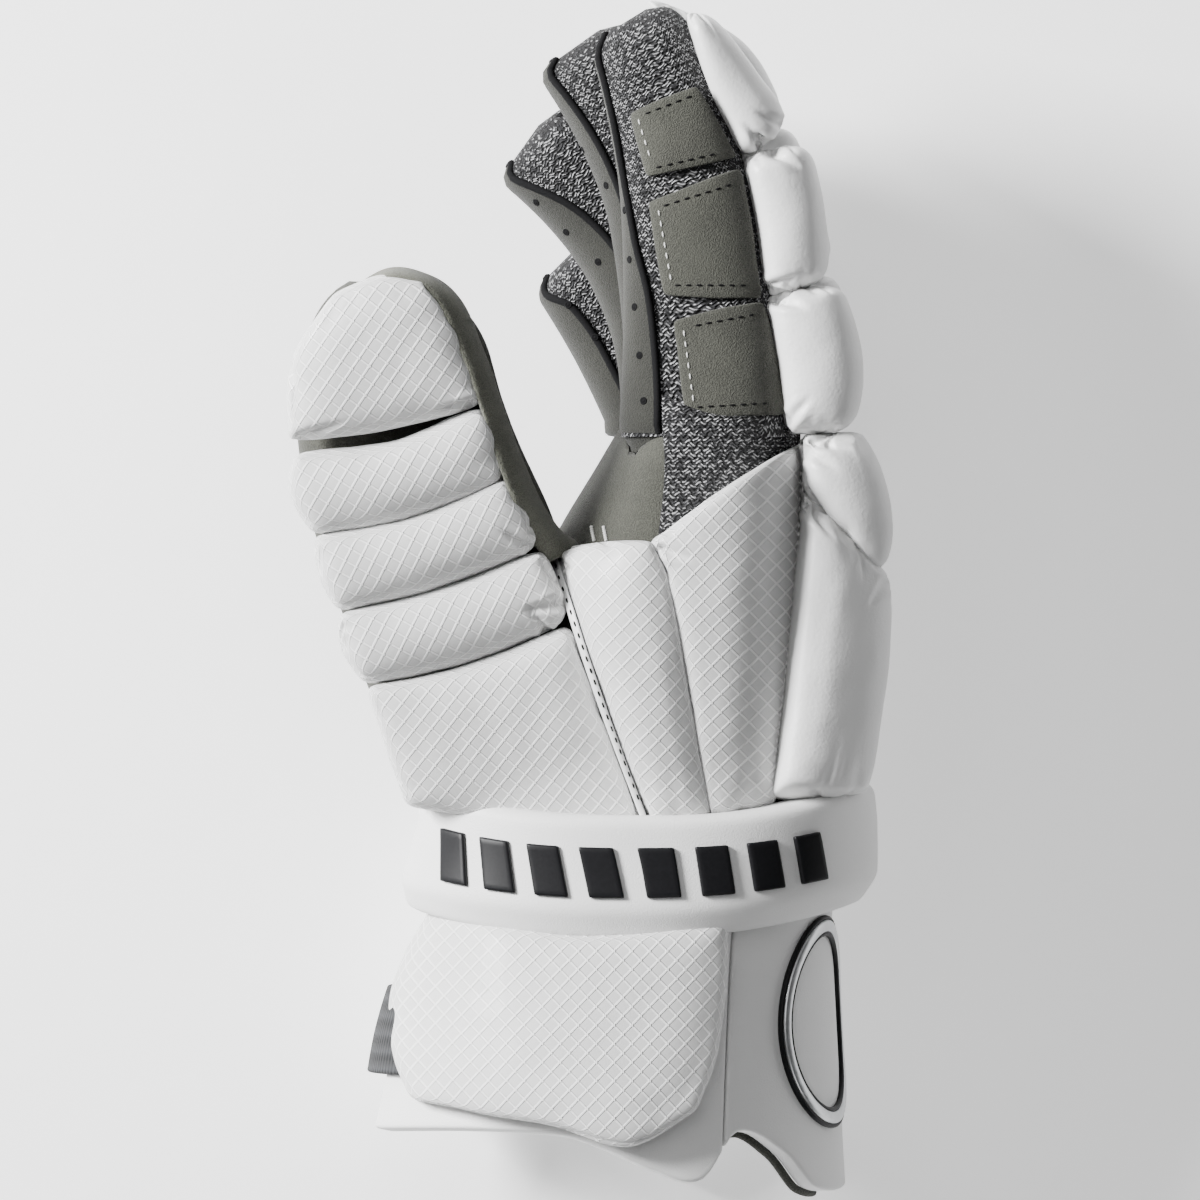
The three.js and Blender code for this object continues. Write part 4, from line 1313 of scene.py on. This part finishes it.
def make_band():
    """The moulded wrist band with a row of raised slanted bars"""
    def place(u, v):
        turn = BAND_START + BAND_TURNS * v
        end = max((1 - abs(2 * v - 1) ** 40) ** 0.5, 0.001)
        rounds = [around_band(u + step * 0.012) for step in (-1, 0, 1)]
        up, out = (sum(values) / 3 - 0.5 for values in zip(*rounds))
        up, out = 0.5 + up * mix(0.75, 1, end), 0.5 + out * end
        return on_hand(turn, band_low(turn) + BAND_HEIGHT * up, BAND_IN + BAND_PAD * out)
    band = grid("moulded_band", 72, 200, place, (0.09, 0.4))
    weld(band, close=True)
    settle(band)
    sew(band, "moulded_white", "wrist_band")
    turns = np.linspace(BAR_FROM, BAR_TO, 300)
    way = np.array([on_hand(turn, band_low(turn), BAND_OUT) for turn in turns])
    runs = np.concatenate([[0], np.cumsum(np.linalg.norm(np.diff(way, axis=0), axis=1))])
    for number in range(BARS):
        def bar(x, y, z, number=number):
            share = (y + 1) / 2
            step = number + BAR_SHARE * (x + 1) / 2 + BAR_LEAN * share
            turn = np.interp(step / (BARS - 1 + BAR_SHARE + BAR_LEAN) * runs[-1], runs, turns)
            height = band_low(turn) + BAND_HEIGHT * mix(*BAR_RANGE, share)
            return on_hand(turn, height, BAND_OUT - 0.2 + 0.8 * (z + 1))
        piece = block(f"raised_bar_{number + 1}", bar, (8, 13, 1.6), (0.6, 0.6, 0.5), (8, 10, 3))
        sew(piece, "gloss_black", f"band_bar_{number + 1}")


BADGE_TURN = 19.5
BADGE_Y = CUFF_LENGTH * 0.68
# Rings of the badge: radius, half width, half height, height of its middle, how crisp its section is, its
# sides and their length on the cloth, slot and nodes
RINGS = [
    ("silver_badge_ring", BADGE_RADIUS - BADGE_RIM / 2, BADGE_RIM / 2, 1.0, 0.9, 0.7, 20, 0.009,
     "silver_ring", ["badge_ring"]),
    ("badge_edge_outer", BADGE_RADIUS + 0.5, 0.75, 0.9, 0.5, 1.0, 10, 0.004, "gloss_black", []),
    ("badge_edge_inner", BADGE_RADIUS - BADGE_RIM - 0.5, 0.75, 0.9, 0.5, 1.0, 10, 0.004, "gloss_black", []),
]


def on_badge(angle, radius, offset):
    turn = BADGE_TURN + math.degrees(radius * math.cos(angle) / (BACK_REACH + PANEL_OUT))
    return on_hand(turn, BADGE_Y + radius * math.sin(angle), PANEL_OUT + offset)


def make_badge():
    """A plain silver ring with black edges on the shield"""
    for name, radius, half, tall, foot, crisp, sides, around, slot, nodes in RINGS:
        def ring(u, v, radius=radius, half=half, tall=tall, foot=foot, crisp=crisp):
            angle = u * math.tau
            return on_badge(v * math.tau, radius + half * power(math.cos(angle), crisp),
                            foot + tall * power(math.sin(angle), crisp))
        piece = grid(name, sides, 120, ring, (around, 0.17))
        weld(piece, 0.00003)
        sew(piece, slot, *nodes)


# Folds seen in the picture: piece, from, to, width and depth
TUCKS = [
    ("index_roll_1", (764, 150), (741, 128), 0.0016, 0.0022),
    ("index_roll_1", (778, 128), (752, 116), 0.0012, 0.0012),
    ("index_roll_2", (770, 156), (800, 172), 0.0016, 0.0018),
    ("index_roll_2", (764, 292), (800, 278), 0.0014, 0.0014),
    ("index_roll_3", (772, 300), (806, 312), 0.0018, 0.0018),
    ("index_roll_3", (784, 425), (810, 398), 0.0016, 0.0014),
    ("index_knuckle_roll", (804, 452), (836, 470), 0.0018, 0.0018),
    ("index_knuckle_roll", (812, 446), (850, 450), 0.0012, 0.0012),
    ("back_pad_radial", (804, 502), (832, 540), 0.0018, 0.002),
    ("back_pad_radial", (884, 584), (866, 606), 0.0014, 0.0009),
    ("thumb_cap", (474, 408), (440, 412), 0.0014, 0.0018),
    ("thumb_cap", (306, 440), (350, 424), 0.0014, 0.001),
    ("thumb_roll_3", (556, 604), (520, 612), 0.0014, 0.0018),
    ("thumb_roll_3", (546, 630), (524, 600), 0.0012, 0.0012),
    ("thumb_roll_2", (530, 546), (500, 530), 0.0012, 0.0012),
    ("radial_wedge_pad_1", (556, 560), (574, 572), 0.0012, 0.0012),
    ("radial_wedge_pad_2", (660, 550), (690, 562), 0.0014, 0.0016),
    ("radial_wedge_pad_2", (655, 560), (672, 585), 0.0012, 0.001),
]


# Stitches run round the patches at this share of their half width and length
PATCH_RIM = 0.79
# Other lines of stitches, and places of air holes, in the picture
TACKS = [[(592, 527), (595, 543)], [(604, 527), (607, 543)]]
WEDGE_EDGE = [(799, 470), (796, 540), (786, 650), (770, 780)]
SEAM_LINE = [(554, 560), (598, 690), (643, 810)]
HOLES = {
    "index": [(624, 214), (629, 263), (634, 310), (639, 358), (643, 403)],
    "middle": [(560, 113), (583, 151), (606, 187)],
    "ring": [(536, 201), (566, 231), (598, 261)],
    "pinky": [(568, 302), (595, 335)],
}


def make_trim():
    """Folds, stitches and air holes"""
    for name, start, end, width, depth in TUCKS:
        tuck(bpy.data.objects[f"stuffed_{name}"], start, end, width, depth)
    everything = Top(*[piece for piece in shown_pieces() if piece.type == "MESH"])
    dark, pale = [], []
    for edges in PATCHES.values():
        plan = patch(*edges)
        square = [plan(x * PATCH_RIM, y * PATCH_RIM) for x, y in ((1, 1), (-1, 1), (-1, -1), (1, -1))]
        dark += [square[:2], square[2:]]
        pale.append(square[1:3])
    stitch("patch_stitches", dark, everything, "dark_thread_and_hole_shade")
    stitch("pale_stitches", pale, everything, "pale_thread")
    stitch("bar_tacks", TACKS, everything, "pale_thread", 0.0009, 0.0006, 0.0006)
    stitch("wedge_edge_stitches", [WEDGE_EDGE], everything, "smooth_white", 0.0016, pitch=0.0024)
    stitch("wedge_seam_stitches", [SEAM_LINE], everything, "dark_thread_and_hole_shade", radius=0.00032, pitch=0.0034)
    for name, places in HOLES.items():
        pierce(f"{name}_holes", places, everything)


# Lights: name, place in metres, size and energy
LIGHTS = [
    ("key", (-1.2, 0.55, 0.88), 0.5, 98.0),
    ("top", (-0.3, 0.5, 1.5), 1.0, 6.0),
    ("fill", (-1.2, -0.3, 0.8), 1.0, 1.0),
    ("low", (0.15, -0.45, 0.5), 0.3, 0.5),
]
CAMERA_HEIGHT = 4.0
# The height at which the picture's scale holds
MIDDLE_HEIGHT = 0.066


def make_stage():
    """A pale floor, soft studio lights and the camera straight above"""
    floor = add(bpy.ops.mesh.primitive_plane_add, "floor", size=14, location=(0, 0, -0.0002))
    paint = Paint("pale_floor", 0.9, Emission_Color=(1, 1, 1, 1), Emission_Strength=0.62)
    speck = paint.grain(60, 2)
    color = paint.blend(speck, (0.93, 0.93, 0.935), (0.96, 0.96, 0.96))
    floor.data.materials.append(paint.finish(color, speck, 0.0001))
    floor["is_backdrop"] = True
    world = bpy.data.worlds.new("studio")
    bpy.context.scene.world = world
    world.use_nodes = True
    background = world.node_tree.nodes["Background"]
    background.inputs["Color"].default_value = (0.95, 0.97, 1.0, 1.0)
    background.inputs["Strength"].default_value = 0.06
    for name, place, size, energy in LIGHTS:
        light = bpy.data.lights.new(name, "AREA")
        light.size = size
        light.energy = energy
        lamp = bpy.data.objects.new(name, light)
        bpy.context.scene.collection.objects.link(lamp)
        lamp.location = place
        lamp.rotation_euler = (-Vector(place)).to_track_quat("-Z", "Y").to_euler()
    data = bpy.data.cameras.new("camera")
    data.sensor_width = 36
    data.lens = data.sensor_width * (CAMERA_HEIGHT - MIDDLE_HEIGHT) / (PICTURE * PIXEL / 1000)
    data.clip_end = 50
    camera = bpy.data.objects.new("camera", data)
    bpy.context.scene.collection.objects.link(camera)
    x, y = spot(PICTURE / 2, PICTURE / 2)
    camera.location = (*metres(x, y, 0)[:2], CAMERA_HEIGHT)
    bpy.context.scene.camera = camera


# The add-on
class GloveSizes(bpy.types.PropertyGroup):
    grid_cell: FloatProperty(name="Grid cell", description="Width of one diamond of the grid cloth",
                             default=0.0049, min=0.002, max=0.02, unit="LENGTH", precision=4)
    stitch: FloatProperty(name="Stitch", description="Length of one stitch of a seam", default=0.0019,
                          min=0.001, max=0.005, unit="LENGTH", precision=4)
    folds: IntProperty(name="Folds", description="Small folds at each end of a roll", default=9,
                       min=0, max=20)


def swatch(name, description, *values):
    return FloatVectorProperty(name=name, description=description, subtype="COLOR", default=values,
                               min=0, max=1)


class GloveColors(bpy.types.PropertyGroup):
    suede: swatch("Suede", "Colour of the palm's suede", 0.05, 0.051, 0.041)
    knit_light: swatch("Light yarn", "Light yarn of the knit", 0.4, 0.4, 0.41)
    knit_dark: swatch("Dark yarn", "Dark yarn of the knit", 0.022, 0.022, 0.025)
    white: swatch("White cloth", "Colour of the padded cloth", 0.76, 0.76, 0.755)
    moulded: swatch("Moulded white", "Colour of the moulded foam", 0.78, 0.78, 0.775)
    webbing: swatch("Elastic", "Colour of the ribbed elastic", 0.022, 0.023, 0.025)
    silver: swatch("Silver", "Colour of the badge's ring", 0.62, 0.63, 0.64)
    black: swatch("Black", "Colour of the raised bars", 0.006, 0.006, 0.007)
    # The dark thread colour also fills the air holes as painted shade
    dark_thread_and_hole_shade: swatch("Dark thread", "Colour of dark stitches, piping and holes", 0.005, 0.005, 0.0055)
    pale_thread: swatch("Pale thread", "Colour of pale stitches", 0.6, 0.6, 0.58)


class GLOVE_OT_paints(bpy.types.Operator):
    """Mix the glove's materials"""
    bl_idname = "glove.paints"
    bl_label = "Materials"

    def execute(self, context):
        mix_paints()
        return {"FINISHED"}


class GLOVE_OT_hand(bpy.types.Operator):
    """Make the suede hand and thumb"""
    bl_idname = "glove.hand"
    bl_label = "Hand and thumb"

    def execute(self, context):
        make_hand()
        return {"FINISHED"}


class GLOVE_OT_fingers(bpy.types.Operator):
    """Make the knit fingers, their suede strips and patches"""
    bl_idname = "glove.fingers"
    bl_label = "Fingers"

    def execute(self, context):
        make_fingers()
        make_patches()
        return {"FINISHED"}


class GLOVE_OT_rolls(bpy.types.Operator):
    """Make the smooth rolls on the fingers and the back"""
    bl_idname = "glove.rolls"
    bl_label = "Finger and back rolls"

    def execute(self, context):
        make_rolls()
        return {"FINISHED"}


class GLOVE_OT_thumb_pads(bpy.types.Operator):
    """Make the thumb's cap, rolls and base pad"""
    bl_idname = "glove.thumb_pads"
    bl_label = "Thumb pads"

    def execute(self, context):
        make_thumb_pads()
        return {"FINISHED"}


class GLOVE_OT_side_pads(bpy.types.Operator):
    """Make the wedges on both sides of the hand"""
    bl_idname = "glove.side_pads"
    bl_label = "Side wedges"

    def execute(self, context):
        make_side_pads()
        return {"FINISHED"}


class GLOVE_OT_cuff(bpy.types.Operator):
    """Make the cuff with its panels, pads and elastic"""
    bl_idname = "glove.cuff"
    bl_label = "Cuff"

    def execute(self, context):
        make_cuff()
        return {"FINISHED"}


class GLOVE_OT_band(bpy.types.Operator):
    """Make the wrist band and its raised bars"""
    bl_idname = "glove.band"
    bl_label = "Wrist band"

    def execute(self, context):
        make_band()
        return {"FINISHED"}


class GLOVE_OT_badge(bpy.types.Operator):
    """Make the plain ring on the shield"""
    bl_idname = "glove.badge"
    bl_label = "Badge ring"

    def execute(self, context):
        make_badge()
        return {"FINISHED"}


class GLOVE_OT_trim(bpy.types.Operator):
    """Add folds, stitches and air holes"""
    bl_idname = "glove.trim"
    bl_label = "Trim"

    def execute(self, context):
        make_trim()
        return {"FINISHED"}


class GLOVE_OT_stage(bpy.types.Operator):
    """Set the floor, the lights and the camera"""
    bl_idname = "glove.stage"
    bl_label = "Stage"

    def execute(self, context):
        make_stage()
        return {"FINISHED"}


OPERATORS = [GLOVE_OT_paints, GLOVE_OT_hand, GLOVE_OT_fingers, GLOVE_OT_rolls, GLOVE_OT_thumb_pads,
             GLOVE_OT_side_pads, GLOVE_OT_cuff, GLOVE_OT_band, GLOVE_OT_badge, GLOVE_OT_trim, GLOVE_OT_stage]


class GLOVE_PT_panel(bpy.types.Panel):
    """Sizes, colours and pieces of the glove"""
    bl_idname = "GLOVE_PT_panel"
    bl_label = "Lacrosse glove"
    bl_space_type = "VIEW_3D"
    bl_region_type = "UI"
    bl_category = "Glove"

    def draw(self, context):
        for group in (context.scene.glove_sizes, context.scene.glove_colors):
            for name in group.bl_rna.properties.keys():
                if name not in ("rna_type", "name"):
                    self.layout.prop(group, name)
        for operator in OPERATORS:
            self.layout.operator(operator.bl_idname)


CLASSES = [GloveSizes, GloveColors, *OPERATORS, GLOVE_PT_panel]


def register():
    for one in CLASSES:
        bpy.utils.register_class(one)
    bpy.types.Scene.glove_sizes = PointerProperty(type=GloveSizes)
    bpy.types.Scene.glove_colors = PointerProperty(type=GloveColors)


def unregister():
    del bpy.types.Scene.glove_sizes
    del bpy.types.Scene.glove_colors
    for one in reversed(CLASSES):
        bpy.utils.unregister_class(one)


def main():
    """Makes the glove and its stage"""
    register()
    bpy.ops.glove.paints()
    bpy.ops.glove.hand()
    bpy.ops.glove.fingers()
    bpy.ops.glove.rolls()
    bpy.ops.glove.thumb_pads()
    bpy.ops.glove.side_pads()
    bpy.ops.glove.cuff()
    bpy.ops.glove.band()
    bpy.ops.glove.badge()
    bpy.ops.glove.trim()
    bpy.ops.glove.stage()


if __name__ == "__main__":
    main()
